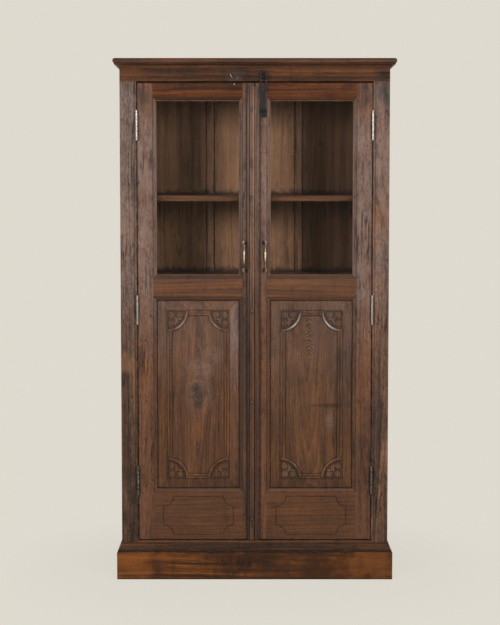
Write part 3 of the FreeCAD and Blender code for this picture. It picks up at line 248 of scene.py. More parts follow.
def seam_group():
    """A soft line along the sides of a frame that stands the same way on both doors."""
    tree, given = new_group("soft_line", ["Vector", "Centre", "Half Size"], ["Width"])
    folded = vector_sum(tree, "ABSOLUTE", given["Vector"])
    apart = vector_sum(tree, "ABSOLUTE", vector_sum(tree, "SUBTRACT", folded, given["Centre"]))
    past = add(tree, "SeparateXYZ", {0: vector_sum(tree, "SUBTRACT", apart, given["Half Size"])})
    away = reckon(tree, "ABSOLUTE", reckon(tree, "MAXIMUM", past["X"], past["Z"]))
    uneven = noise(tree, given["Vector"], 55.0, 5.0, 0.65)
    width = times(tree, given["Width"], band(tree, uneven, 0.3, 0.7, 0.5, 1.3))
    share = reckon(tree, "DIVIDE", away, width)
    return closed_group(tree, {"Line": band(tree, share, 0.1, 1.0, 1.0, 0.0)})


def scrape_group():
    """A ragged patch, whole or scored by a scraper drawn from side to side."""
    tree, given = new_group("ragged_patch", PATCH)
    reach = from_centre(tree, given)[2]
    ragged = reckon(tree, "ADD", reach, noise(tree, given["Vector"], 24.0, 4.0))
    patch = band(tree, ragged, 0.6, 1.3, 1.0, 0.0)
    sideways = vector_sum(tree, "MULTIPLY", given["Vector"], (0.1, 1.0, 1.0))
    scores = band(tree, noise(tree, sideways, 190.0, 3.0, 0.6), 0.42, 0.62, 0.55, 1.0)
    return closed_group(tree, {"Patch": patch, "Scraped": times(tree, patch, scores)})


def flame_group():
    """Arched figure where the rings run out at the face of a board, as a tone and where it shows."""
    tree, given = new_group("flame_figure", PATCH)
    apart, _, reach = from_centre(tree, given)
    along = add(tree, "SeparateXYZ", {0: apart})
    arch = times(tree, times(tree, along["X"], along["X"]), 42.0)
    waver = times(tree, noise(tree, given["Vector"], 60.0, 3.0), 0.03)
    level = reckon(tree, "ADD", reckon(tree, "ADD", along["Z"], arch), waver)
    bands = add(
        tree, "TexWave", {"Vector": add(tree, "CombineXYZ", {"Z": level})[0], "Scale": 24.0},
        bands_direction="Z", wave_profile="SAW",
    )["Fac"]
    return closed_group(tree, {
        "Tone": reckon(tree, "SUBTRACT", times(tree, bands, 1.4), 0.2),
        "Shown": band(tree, reach, 0.35, 1.0, 1.0, 0.0),
    })


GRAIN, KNOT, AGE, EDGES = grain_group(), knot_group(), age_group(), edge_group()
SEAMS, SCRAPE, FLAME = seam_group(), scrape_group(), flame_group()
# How a board's length lies, as the turn that lays the Z axis along it
RUNS = {"up": (0.0, 0.0, 0.0), "across": (0.0, 90.0, 0.0), "deep": (-90.0, 0.0, 0.0)}


def line(x, z, half_width, half_height, spread):
    """A line of dirt or wear round a frame: its centre, half its size and how far it spreads."""
    return {"Centre": (x, 0.0, z), "Half Size": (half_width, 1.0, half_height), "Width": spread}


def spots(depth, *places):
    """Patches on a face at that depth: each has x, z and how narrow it is across and up."""
    return [{"Centre": (x, depth, z), "Closeness": (across, 1.0, up)} for x, z, across, up in places]


# The middles of a door's openings, and the lines on doors, base, top and inside: dark lines of dirt and
# painted shade along gaps and joints, and a pale worn line round the panes
OPENING_X, PANE_Z, PANEL_Z = 0.1991, 1.3815, 0.6555
DOOR_EDGE = line(0.2056, 0.943, 0.2048, 0.804, 0.007)
PANE_EDGE = line(OPENING_X, PANE_Z, 0.144, 0.3025, 0.003)
PANEL_EDGE = line(OPENING_X, PANEL_Z, 0.144, 0.3325, 0.0035)
PANE_LINE = line(OPENING_X, PANE_Z, 0.157, 0.3155, 0.0018)
PANEL_LINE = line(OPENING_X, PANEL_Z, 0.157, 0.3455, 0.0018)
FIELD_EDGE = line(OPENING_X, PANEL_Z, 0.11, 0.2985, 0.003)
DOOR_LINES = [DOOR_EDGE, PANEL_EDGE, PANE_LINE, PANEL_LINE]
PANEL_LINES = [PANEL_EDGE, FIELD_EDGE]
# The top's line is dirt and painted shade under its nosing
TOP_LINE = line(0.0, 1.0, 1.0, 0.8105, 0.004)
BASE_EDGE = line(0.0, 0.05, 1.0, 0.05, 0.01)
BACK_JOINT = line(0.0, 1.0, 0.0, 2.0, 0.007)
# Inside: dirt and painted shade at the muntins' edges, and painted shade in a band on the back at each shelf
MUNTIN_EDGE = line(0.16425, 1.0, 0.01425, 2.0, 0.005)
SHELF_HEIGHTS = (1.357, 1.071)
INSIDE_LINES = [MUNTIN_EDGE, *(line(0.0, z, 1.0, 0.0, 0.032) for z in SHELF_HEIGHTS)]
# Painted highlight along the reeds of the cover strips, and painted shade in their groove
REED_HIGHLIGHT = line(0.0135, 1.0, 0.0099, 2.0, 0.003)
REED_GROOVE_SHADE = line(0.019, 1.0, 0.0, 2.0, 0.0035)
# Painted shadow: dark bands beside the cover strips, where each strip casts its shadow
STRIP_SHADOW = {"left": line(0.0271, 1.0, 0.0, 2.0, 0.0095), "right": line(0.0184, 1.0, 0.0, 2.0, 0.0085)}


def new_material(name):
    """A material with one Principled shader: returns it, its tree, the coordinates and the shader."""
    material = bpy.data.materials.new(name)
    material.use_nodes = True
    tree = material.node_tree
    tree.nodes.clear()
    shader = tree.nodes.new("ShaderNodeBsdfPrincipled")
    add(tree, "OutputMaterial", {"Surface": shader.outputs[0]})
    return material, tree, add(tree, "TexCoord")["Object"], shader


def show_instead(tree, share, shader, other):
    """Shows another shader in the first one's place as far as the share says."""
    output = next(node for node in tree.nodes if node.type == "OUTPUT_MATERIAL")
    mixed = add(tree, "MixShader", {0: share, 1: shader.outputs[0], 2: other})
    feed(tree, output, {"Surface": mixed[0]})


# Colours that age lays over the wood, some standing in for light: dirt, also painted shade; dry polish, also
# a painted sheen on bevels; bared wood; worn edges, also painted highlights on the reeds
GRIME_AND_SHADE = srgb(26, 19, 16)
BLOOM_AND_SHEEN = srgb(134, 112, 103)
RAW = srgb(150, 104, 74)
WORN_AND_HIGHLIGHT = srgb(160, 130, 112)


def wood(name, shades, pith, run="up", lean=(0.0, 0.0, 0.0), ring_scale=24.0, wander=0.05, film=0.0,
         film_span=None, grime=0.4, cracks=0.3, nicks=0.3, scuffs=0.2, rubbed_and_highlit=0.5, worn=None, rough=0.44,
         sheen=0.22, blotch=0.35, mottle=0.12, painted_shade_below=None, frames=(), bright=(), knots=(), flames=(),
         scraped=(), stains_and_shadows=(), rubbed_back=()):
    """Old oiled teak. Its rings lie about the pith, which runs along the board and may lean."""
    material, tree, place, shader = new_material(name)
    pale, body, deep = (srgb(*shade) for shade in shades)

    def laid_on(group, inputs=None):
        return add(tree, "Group", {"Vector": place, **(inputs or {})}, node_tree=group)

    bent, eyes = place, []
    for spot in knots:
        eyes.append(laid_on(KNOT, {"Vector": bent, **spot}))
        bent = eyes[-1]["Vector"]
    turn = [math.radians(a + b) for a, b in zip(RUNS[run], lean)]
    along = add(tree, "Mapping", {"Vector": bent, "Location": pith, "Rotation": turn}, vector_type="TEXTURE")
    grain = laid_on(GRAIN, {"Vector": along[0], "Ring Scale": ring_scale, "Wander": wander})
    age = laid_on(AGE)
    tone = grain["Tone"]
    for figure in [*eyes, *(laid_on(FLAME, spot) for spot in flames)]:
        tone = add(tree, "Mix", {0: figure["Shown"], 2: tone, 3: figure["Tone"]})[0]
    colour = tint(tree, band(tree, tone, 0.2, 0.52), pale, body)
    colour = tint(tree, band(tree, tone, 0.46, 0.86), colour, deep)
    colour = tint(tree, times(tree, age["Blotch"], blotch), colour, deep)
    # A film of dry polish, thinner towards the foot and the head, and a painted sheen on the marked bevels
    veil = times(tree, age["Film"], reckon(tree, "MAXIMUM", marked(tree, "bevel_sheen"), film))
    height = height_of(tree, place)
    dry = 1.0
    if film_span is not None:
        dry = band(tree, height, *film_span[:2], 0.15, 1.0)
        dry = times(tree, dry, band(tree, height, *film_span[2:], 1.0, 0.12))
        veil = times(tree, veil, dry)
    hazes = [(knot["Halo"], 0.25) for knot in eyes]
    hazes += [(laid_on(SCRAPE, spot)["Scraped"], 0.45) for spot in scraped]
    for mask, amount in hazes:
        veil = reckon(tree, "MAXIMUM", veil, times(tree, mask, amount))
    colour = tint(tree, veil, colour, BLOOM_AND_SHEEN)
    # Dark marks, with painted shade among them, then the places worn pale and the painted highlights
    marks = [(grain["Pores"], 0.4), (grain["Cracks"], cracks), (age["Grime"], grime), (age["Specks"], 0.6),
             (age["Nicks"], nicks), (age["Mottle"], mottle)]
    marks += [(knot["Eye"], 0.6) for knot in eyes]
    # Painted shade: darker towards the foot, where less lamp light falls
    if painted_shade_below is not None:
        low, high, share = painted_shade_below
        marks.append((band(tree, height, low, high, 1.0, 0.0), share))
    # Stain marks, and patches of painted shadow beside the hinges and behind the hasp's loop
    marks += [(times(tree, laid_on(SCRAPE, spot)["Patch"], age["Film"]), 0.75) for spot in stains_and_shadows]
    # Painted shade on the faces marked sunk
    marks.append((marked(tree, "sunk"), 0.8))
    # Dark lines of dirt and painted shade along gaps and joints
    marks += [(laid_on(SEAMS, edge)["Line"], 0.85) for edge in frames]
    for mask, amount in marks:
        colour = tint(tree, times(tree, mask, amount), colour, GRIME_AND_SHADE)
    for spot in rubbed_back:
        colour = tint(tree, times(tree, laid_on(SCRAPE, spot)["Patch"], 0.4), colour, pale)
    # Pale lines: a worn line round the panes, and a painted highlight along the reeds
    for edge in bright:
        share = times(tree, laid_on(SEAMS, edge)["Line"], dry)
        colour = tint(tree, times(tree, share, 0.5), colour, WORN_AND_HIGHLIGHT)
    colour = tint(tree, times(tree, age["Scuffs"], scuffs), colour, RAW)
    # Worn arrises in the worn colour, and a painted highlight on the corner beads and carving
    worn_and_highlit_edge = times(tree, laid_on(EDGES)["Rubbed And Highlit"], rubbed_and_highlit)
    dull = band(tree, grain["Tone"], 0.2, 0.9, rough - 0.05, rough + 0.08)
    relief = reckon(tree, "ADD", grain["Relief"], times(tree, age["Hollows"], 2.0))
    feed(tree, shader, {
        "Base Color": tint(tree, worn_and_highlit_edge, colour, srgb(*worn) if worn else pale),
        "Roughness": reckon(tree, "ADD", dull, times(tree, age["Grime"], 0.15)),
        "Specular IOR Level": sheen,
        "Normal": add(tree, "Bump", {"Height": relief, "Strength": 0.6, "Distance": 0.0012})[0],
    })
    return material


def glass():
    """Old clear window glass with a little dust; lamps shine through it."""
    material, tree, place, shader = new_material("window_glass")
    smears = noise(tree, drawn(tree, place, 0.5), 14.0, 4.0)
    feed(tree, shader, {
        "Base Color": (0.96, 0.975, 0.96, 1.0),
        "Roughness": band(tree, smears, 0.5, 0.8, 0.0, 0.012),
        "Transmission Weight": 1.0,
        "IOR": 1.15,
        "Specular IOR Level": 0.5,
    })
    path = add(tree, "LightPath")
    through = reckon(tree, "MAXIMUM", path["Is Shadow Ray"], path["Is Diffuse Ray"])
    show_instead(tree, through, shader, add(tree, "BsdfTransparent")[0])
    return material


def metal(name, clean, dirty, metallic, rough, patch_scale, bright_span=None, pits=0.35, gloss=0.5):
    """Metal under patches of rust or tarnish. bright_span keeps it worn bright round one height."""
    material, tree, place, shader = new_material(name)
    mask = band(tree, noise(tree, place, patch_scale, 5.0, 0.65), 0.4, 0.62)
    if bright_span is not None:
        middle, reach = bright_span
        away = reckon(tree, "ABSOLUTE", reckon(tree, "SUBTRACT", height_of(tree, place), middle))
        far = band(tree, away, reach * 0.75, reach * 1.15)
        far = times(tree, far, band(tree, mask, 0.0, 1.0, 0.55))
        mask = reckon(tree, "MAXIMUM", times(tree, mask, 0.45), far)
    # The handles' darker inner sides and paler roses, and painted shade on the sides of the hinge knuckles
    mask = reckon(tree, "ADD", mask, marked(tree, "tarnish_and_shade"), clamp=True)
    pitting = {"Height": noise(tree, place, 380.0, 3.0), "Strength": pits, "Distance": 0.0006}
    feed(tree, shader, {
        "Base Color": tint(tree, mask, srgb(*clean), srgb(*dirty)),
        "Metallic": band(tree, mask, 0.0, 1.0, metallic, metallic * 0.6),
        "Roughness": band(tree, mask, 0.0, 1.0, rough, rough + 0.15),
        "Specular IOR Level": gloss,
        "Normal": add(tree, "Bump", pitting)[0],
    })
    return material


# Depths of the front faces, and the places of the ironmongery on them
FACE, PANEL_FACE, PLINTH_FACE = -0.183, -0.18, -0.2
HINGE_X = 0.411
HINGE_FEET = (0.301, 0.904, 1.547)
# Painted shadow: dark patches on the post and stile beside each hinge knuckle, where the gap shade falls
HINGE_SHADOWS = spots(
    FACE, *((x, foot + 0.051, 48.0, 13.0) for x in (-HINGE_X, HINGE_X) for foot in HINGE_FEET))
HANDLE_MIDDLE = 1.143
NAIL_LINE = -0.00975
NAIL_HEIGHTS = (0.215, 0.631, 0.951, 1.345, 1.656)
NAIL_STAINS = spots(-0.187, *((NAIL_LINE, height, 46.0, 46.0) for height in NAIL_HEIGHTS))
MEETING_SPAN = (0.85, 1.3, 1.54, 1.71)
# Shades of each wood: pale, middle and deep
STILE_SHADES = ((131, 84, 53), (112, 70, 41), (78, 48, 29))
RAIL_SHADES = ((114, 70, 39), (96, 57, 31), (66, 39, 22))
PANEL_SHADES = ((121, 78, 45), (96, 60, 34), (58, 37, 23))
PLINTH_SHADES = ((150, 89, 39), (106, 60, 26), (56, 33, 17))
SPLAY_SHADES = ((98, 62, 36), (72, 45, 27), (40, 26, 19))
CORNICE_SHADES = ((110, 64, 32), (77, 44, 21), (38, 23, 14))
FRIEZE_SHADES = ((106, 62, 29), (76, 43, 20), (40, 24, 15))
INSIDE_SHADES = ((146, 104, 67), (120, 84, 53), (78, 54, 36))
# What the boards of the back share
BACK = {"pith": (0.05, 0.1, 0.0), "ring_scale": 7.0, "wander": 0.12, "scuffs": 0.1, "sheen": 0.05}
FINISH = {
    "post": wood(
        "post_wood", ((146, 102, 71), (102, 70, 49), (34, 24, 19)), (0.3, 0.15, 0.0), ring_scale=22.0,
        film=0.74, film_span=(0.75, 1.15, 1.7, 1.8), grime=0.85, cracks=0.9, nicks=0.85, scuffs=0.35,
        blotch=0.65, mottle=0.45, frames=[DOOR_EDGE],
        stains_and_shadows=HINGE_SHADOWS + spots(
            FACE, (-0.44, 0.4, 6.0, 2.2), (0.455, 1.72, 22.0, 8.0), (-0.45, 0.18, 8.0, 5.0)),
        rubbed_back=spots(FACE, (0.45, 1.28, 7.0, 6.0), (-0.46, 0.77, 14.0, 13.0)),
        scraped=spots(FACE, (-0.44, 1.46, 7.0, 7.0), (0.44, 1.28, 7.0, 8.0)),
    ),
    "stile": wood(
        "stile_wood", STILE_SHADES, (0.05, 0.1, 0.0), film=0.84, film_span=(0.72, 1.12, 1.54, 1.71),
        painted_shade_below=(0.2, 0.6, 0.14), grime=0.5, cracks=0.8, nicks=0.9, scuffs=0.35, mottle=0.3,
        frames=DOOR_LINES, bright=[PANE_EDGE],
        stains_and_shadows=HINGE_SHADOWS + spots(
            FACE, (0.385, 0.42, 14.0, 2.4), (-0.395, 1.7, 26.0, 13.0), (0.38, 1.71, 18.0, 9.0)),
    ),
    "meeting_left": wood(
        "meeting_wood_left", ((110, 72, 48), (93, 60, 38), (62, 40, 27)), (-0.1, 0.1, 0.0), film=0.36,
        film_span=MEETING_SPAN, grime=0.65, cracks=0.7, nicks=0.7, painted_shade_below=(0.85, 1.15, 0.26),
        frames=[*DOOR_LINES, STRIP_SHADOW["left"]], bright=[PANE_EDGE],
    ),
    "meeting_right": wood(
        "meeting_wood_right", STILE_SHADES, (-0.1, 0.1, 0.0), film=0.58, film_span=MEETING_SPAN, grime=0.45,
        cracks=0.7, nicks=0.7, painted_shade_below=(0.85, 1.15, 0.16), frames=[*DOOR_LINES, STRIP_SHADOW["right"]],
        # Both patches here are painted shadow behind the hasp's loop
        bright=[PANE_EDGE], stains_and_shadows=spots(FACE, (0.03, 1.725, 34.0, 10.0), (0.03, 1.735, 50.0, 16.0)),
    ),
    "low_rail": wood(
        "low_rail_wood", ((112, 69, 37), (95, 57, 30), (74, 45, 26)), (0.0, -0.1, 0.35), "across", film=0.04,
        grime=0.3, cracks=0.1, blotch=0.5, mottle=0.16, frames=[DOOR_EDGE, PANEL_EDGE, PANEL_LINE],
    ),
    "rail": wood("rail_wood", RAIL_SHADES, (0.0, -0.1, 0.9), "across", film=0.06, grime=0.25,
                 frames=DOOR_LINES, bright=[PANE_EDGE]),
    "top_rail": wood(
        "door_head_wood", ((114, 61, 26), (90, 47, 20), (52, 28, 13)), (0.0, -0.12, 1.66), "across",
        grime=0.5, sheen=0.14, frames=[DOOR_EDGE, PANE_LINE], bright=[PANE_EDGE],
        stains_and_shadows=spots(FACE, (0.322, 1.733, 28.0, 28.0), (-0.26, 1.742, 7.0, 40.0),
                     (-0.075, 1.735, 24.0, 36.0)),
    ),
    "frieze": wood(
        "frieze_wood", FRIEZE_SHADES, (0.0, -0.1, 1.7), "across", grime=0.6, cracks=0.6, sheen=0.14,
        frames=[DOOR_EDGE],
        # The patch at x 0.03 is painted shadow behind the hasp's loop; the others are stain marks
        stains_and_shadows=spots(FACE, (-0.06, 1.78, 8.0, 15.0), (-0.25, 1.79, 4.0, 40.0), (0.03, 1.765, 24.0, 24.0),
                     (0.45, 1.772, 16.0, 24.0)),
        scraped=spots(FACE, (-0.07, 1.765, 17.0, 24.0)), rubbed_back=spots(FACE, (-0.44, 1.775, 7.0, 14.0)),
    ),
    "panel_left": wood(
        "panel_wood_left", PANEL_SHADES, (-0.2, -0.16, 0.35), lean=(4.0, 0.0, 0.0), ring_scale=28.0,
        film=0.25, film_span=(0.62, 0.86, 1.9, 2.0), grime=0.25, frames=PANEL_LINES,
        knots=spots(-0.178, (-0.198, 0.652, 13.0, 9.5)),
        scraped=spots(PANEL_FACE, (-0.2, 0.75, 9.0, 12.0), (-0.15, 0.8, 12.0, 15.0), (-0.07, 0.84, 30.0, 8.0),
                      (-0.2, 0.695, 15.0, 24.0)),
        stains_and_shadows=spots(PANEL_FACE, (-0.098, 0.82, 60.0, 8.0), (-0.208, 0.682, 30.0, 30.0),
                     (-0.201, 0.618, 32.0, 36.0)),
        # worn gives the colour of the painted highlight on the corner beads and carving
        rubbed_and_highlit=0.6, worn=(158, 142, 130),
    ),
    "panel_right": wood(
        "panel_wood_right", ((114, 74, 43), (90, 57, 32), (55, 35, 22)), (0.192, -0.178, 0.93),
        lean=(5.0, 0.0, 0.0), ring_scale=34.0, film=0.22, film_span=(0.5, 0.9, 1.9, 2.0), grime=0.3,
        frames=PANEL_LINES, flames=spots(PANEL_FACE, (0.192, 0.87, 24.0, 9.0)),
        scraped=spots(PANEL_FACE, (0.264, 0.567, 26.0, 17.0)),
        stains_and_shadows=spots(PANEL_FACE, (0.27, 0.617, 8.0, 75.0), (0.299, 0.78, 70.0, 6.0)),
        # worn gives the colour of the painted highlight on the corner beads and carving
        rubbed_and_highlit=0.75, worn=(192, 186, 184),
    ),
    "plinth": wood(
        "plinth_wood", PLINTH_SHADES, (0.1, -0.16, 0.09), "across", lean=(0.0, 1.5, 0.0), ring_scale=12.0,
        wander=0.09, grime=0.45, cracks=0.1, rough=0.38, sheen=0.15, blotch=0.9, frames=[BASE_EDGE],
        stains_and_shadows=spots(PLINTH_FACE, (-0.1, 0.06, 4.4, 9.0), (-0.03, 0.06, 4.4, 12.0)),
        rubbed_back=spots(PLINTH_FACE, (-0.44, 0.06, 8.0, 9.0), (0.42, 0.06, 5.0, 9.0)),
    ),
    "plinth_side": wood("plinth_side_wood", PLINTH_SHADES, (0.4, 0.0, 0.09), "deep", ring_scale=40.0,
                        wander=0.03, grime=0.5, rough=0.38, frames=[BASE_EDGE]),
    "splay": wood("splay_wood", SPLAY_SHADES, (0.0, -0.1, 0.2), "across", grime=0.5, rubbed_and_highlit=0.4, sheen=0.12,
                  frames=[BASE_EDGE], stains_and_shadows=spots(-0.19, (-0.05, 0.118, 14.0, 40.0))),
    "splay_side": wood("splay_side_wood", SPLAY_SHADES, (0.4, 0.0, 0.2), "deep", grime=0.5, rubbed_and_highlit=0.4,
                       sheen=0.12, frames=[BASE_EDGE]),
    "top": wood("top_wood", CORNICE_SHADES, (0.0, -0.1, 1.75), "across", film=0.03, frames=[TOP_LINE],
                rubbed_back=spots(-0.21, (-0.28, 1.81, 3.6, 9.0))),
    # The cove takes the frieze's darker shades, as painted shade under the top's overhang
    "cove": wood("cove_wood", FRIEZE_SHADES, (0.0, -0.1, 1.75), "across", film=0.03, grime=0.5,
                 frames=[TOP_LINE]),
    "cove_side": wood("cove_side_wood", FRIEZE_SHADES, (0.4, 0.0, 1.75), "deep", film=0.03, grime=0.5,
                      frames=[TOP_LINE]),
    "side_rail": wood("side_rail_wood", RAIL_SHADES, (0.3, 0.0, 0.8), "deep", film=0.15),
    "side_panel": wood("side_panel_wood", PANEL_SHADES, (0.35, 0.03, 0.5), lean=(0.0, 2.0, 0.0), film=0.15,
                       grime=0.35),
    # Copies of the back's wood: the middle boards lighter as painted light from the lamps, the right-hand
    # boards darker as painted shade
    "back_middle": wood("back_middle_wood", ((156, 115, 86), (144, 105, 78), (115, 84, 63)), grime=0.3,
                        frames=[BACK_JOINT, *INSIDE_LINES], **BACK),
    "back_outer": wood("back_outer_wood", ((150, 110, 80), (137, 99, 71), (106, 77, 56)), grime=0.35,
                       frames=INSIDE_LINES, **BACK),
    "back_right_shaded": wood("back_dim_wood", ((126, 90, 66), (112, 79, 57), (84, 59, 43)), frames=INSIDE_LINES,
                     **BACK),
    # The muntins' wood is lightened against the shadow that falls on them, as painted light
    "muntin": wood("muntin_wood", ((172, 128, 98), (140, 103, 79), (90, 66, 52)), (0.05, 0.12, 0.0),
                   scuffs=0.05, rubbed_and_highlit=0.1, sheen=0.05, frames=INSIDE_LINES),
    "inside_rail": wood("inside_rail_wood", INSIDE_SHADES, (0.0, 0.1, 0.9), "across", grime=0.3, scuffs=0.1,
                        sheen=0.05),
    "shelf": wood("shelf_wood", ((112, 73, 46), (90, 58, 36), (60, 39, 26)), (0.0, 0.1, 1.2), "across",
                  grime=0.35, rubbed_and_highlit=0.2, sheen=0.08),
    **{f"strip_{side}": wood(
        f"strip_wood_{side}", ((122, 79, 49), (99, 62, 38), (58, 37, 25)), (0.2, 0.0, 0.0), film=0.35,
        film_span=(0.8, 1.4, 1.64, 1.74), grime=0.45, cracks=0.5, painted_shade_below=(0.85, 1.15, 0.2),
        frames=[REED_GROOVE_SHADE, STRIP_SHADOW[side]], bright=[REED_HIGHLIGHT], stains_and_shadows=NAIL_STAINS,
    ) for side in ("left", "right")},
    "glass": glass(),
    "iron": metal("forged_iron", (26, 22, 22), (9, 8, 8), metallic=0.1, rough=0.3, patch_scale=90.0,
                  gloss=0.28),
    "brass": metal("worn_brass", (206, 180, 146), (46, 39, 32), metallic=1.0, rough=0.26, patch_scale=120.0,
                   bright_span=(HANDLE_MIDDLE, 0.017)),
    "bent_brass": metal("dull_brass", (178, 158, 120), (66, 58, 46), metallic=0.9, rough=0.35,
                        patch_scale=160.0),
    "steel": metal("hinge_steel", (158, 152, 146), (40, 36, 34), metallic=0.9, rough=0.36,
                   patch_scale=150.0, bright_span=(1.6, 0.8), pits=0.08),
    "nail": metal("nail_iron", (96, 92, 92), (42, 36, 33), metallic=0.7, rough=0.4, patch_scale=220.0),
}


# Pieces stood in for the frame's boards and metalwork


def select_only(piece):
    for other in list(bpy.context.selected_objects):
        other.select_set(False)
    piece.select_set(True)
    bpy.context.view_layer.objects.active = piece


MERGE_DISTANCE = 0.00001
FLAT_ANGLE = math.radians(0.4)
ARRIS_ANGLE = math.radians(35)
# Edges shorter than this many widths of an arris stay sharp
SHORTEST_ARRIS = 14


def merged_copy(node, name):
    """A copy of a node, its triangles merged into whole faces, open in edit mode."""
    piece = bpy.data.objects.new(name, boards[node].data.copy())
    bpy.context.scene.collection.objects.link(piece)
    select_only(piece)
    bpy.ops.mesh.customdata_custom_splitnormals_clear()
    bpy.ops.object.mode_set(mode="EDIT")
    bpy.ops.mesh.select_all(action="SELECT")
    bpy.ops.mesh.remove_doubles(threshold=MERGE_DISTANCE)
    bpy.ops.mesh.dissolve_limited(angle_limit=FLAT_ANGLE)
    return piece


def rub_arrises(piece, arris):
    """Rounds the long outer edges of a board and marks the rounded faces as worn."""
    bpy.ops.mesh.select_mode(type="EDGE")
    bpy.ops.mesh.select_all(action="DESELECT")
    bpy.ops.mesh.edges_select_sharp(sharpness=ARRIS_ANGLE)
    shape = bmesh.from_edit_mesh(piece.data)
    for edge in shape.edges:
        if edge.select and (not edge.is_convex or edge.calc_length() < arris * SHORTEST_ARRIS):
            edge.select_set(False)
    bmesh.update_edit_mesh(piece.data)
    bpy.ops.mesh.bevel(offset=arris, segments=2, affect="EDGES", clamp_overlap=False)
    bpy.ops.object.mode_set(mode="OBJECT")
    mark(piece, "rubbed_and_highlit", lambda face: face.select)


def applied(piece, kind, **settings):
    """Gives the active piece a modifier, sets it and applies it."""
    modifier = piece.modifiers.new(kind.lower(), kind)
    for name, value in settings.items():
        setattr(modifier, name, value)
    bpy.ops.object.modifier_apply(modifier=modifier.name)


def smooth(piece, angle):
    """Smooth shading that keeps broad faces flat."""
    select_only(piece)
    bpy.ops.object.shade_smooth_by_angle(angle=math.radians(angle))
    applied(piece, "WEIGHTED_NORMAL", keep_sharp=True)


def finish_piece(piece, finish, body):
    piece.data.materials.clear()
    piece.data.materials.append(FINISH[finish])
    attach(piece, body)


def dress(node, finish, arris=0.0, angle=40.0):
    """Stands a finished copy in for a node: worn edges, even shading and its own finish."""
    piece = merged_copy(node, f"{node}_finished")
    if arris:
        rub_arrises(piece, arris)
    else:
        bpy.ops.object.mode_set(mode="OBJECT")
    smooth(piece, angle)
    finish_piece(piece, finish, boards[node]["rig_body"])
    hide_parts(node)
    return piece


def mark(piece, name, amount):
    """Marks each face with a share under that name, for painted shade in hollows, painted sheen on bevels,
    wear and painted highlights, and tarnish and painted shade on metal.
    """
    marks = piece.data.attributes.new(name, "FLOAT", "FACE")
    marks.data.foreach_set("value", [float(amount(face)) for face in piece.data.polygons])


# The middles of the arcs that the bead makes in a panel's corners, and their radius
CORNER_X = (0.306, 0.09225)
CORNER_Z = (0.951, 0.36)
ARC_RADIUS = 0.068
BEAD_CREST = -0.1836
# The depths between which carved and moulded faces lie
HOLLOW_FLOOR = (-0.1765, -0.1755)
BEAD_WALL = (-0.1845, -0.174)
RULED_LINE = (-0.1829, -0.179)
MOULDING = (-0.19, -0.172)


def lies_in(face, depths):
    return depths[0] < face.center.y < depths[1]


def on_bevel(face):
    """Whether a face is one of the broad bevels round a carved panel."""
    return face.area > 0.001 and face.normal.y > -0.995


def carved_hollow(face):
    """Painted shade on the floors of the corner hollows, the walls beside the bead, and the bevels that face
    down or out to the sides.
    """
    floor = lies_in(face, HOLLOW_FLOOR) and face.normal.y < -0.9
    wall = lies_in(face, BEAD_WALL) and abs(face.normal.y) < 0.5
    shaded = 0.35 * (face.normal.z < -0.05) + 0.15 * (face.normal.x * face.center.x > 0.002)
    return 0.5 * floor or 0.85 * wall or shaded * on_bevel(face)


def painted_bevel_sheen(face):
    """Dry polish as a painted sheen, on the bevels that look to the middle of the cupboard and upwards."""
    inward = face.normal.x * face.center.x < -0.002
    share = 0.75 if face.center.x < 0.0 else 0.25
    return on_bevel(face) * (inward * share + 0.22 * (face.normal.z > 0.05))


def handle_tarnish(face):
    """Darker on the side of a handle that looks to the middle of the doors, and paler at its two roses."""
    toward = -face.normal.x * math.copysign(1.0, face.center.x)
    inner = max(0.0, min(1.0, 2.5 * toward - 0.4))
    return inner or -0.45 * (abs(face.center.z - HANDLE_MIDDLE) > 0.04)


def knuckle_side_shade(face):
    """Painted shade on the sides of a hinge's knuckles, which turn away from the front."""
    return max(0.0, min(0.8, (face.normal.y + 0.9) / 0.35))


def ruled_groove(face):
    """The cut lines in the face of a rail, darkened as painted shade in the grooves."""
    return 0.6 * (lies_in(face, RULED_LINE) and face.area < 0.0004)


def moulded_slope(face):
    """The slopes of the reeds and moulded edges, darkened as painted shade."""
    return 0.45 * (abs(face.normal.y) < 0.93 and lies_in(face, MOULDING))


def corner_bead(face):
    """Painted highlight on the crest of the bead where it rounds a corner, most of all at the top."""
    x, y, z = abs(face.center.x), face.center.y, face.center.z
    corner_x = min(CORNER_X, key=lambda corner: abs(x - corner))
    corner_z = min(CORNER_Z, key=lambda corner: abs(z - corner))
    off_arc = abs(math.hypot(x - corner_x, z - corner_z) - ARC_RADIUS)
    on_arc = off_arc < 0.0046 and y < BEAD_CREST
    quarter = math.atan2(abs(z - corner_z), abs(x - corner_x)) / (math.pi / 2)
    middle = max(0.0, 1.0 - abs(quarter - 0.5) / 0.45)
    least = 0.3 if face.center.x < 0.0 else 0.05
    return on_arc * (least + (0.95 - least) * middle) * (1.0 if corner_z > PANEL_Z else 0.2)


def face_the_wall(piece):
    """Gives the side of a piece that looks to the wall the finish of the side panels."""
    piece.data.materials.append(FINISH["side_panel"])
    for face in piece.data.polygons:
        if face.normal.y > 0.5:
            face.material_index = len(piece.data.materials) - 1


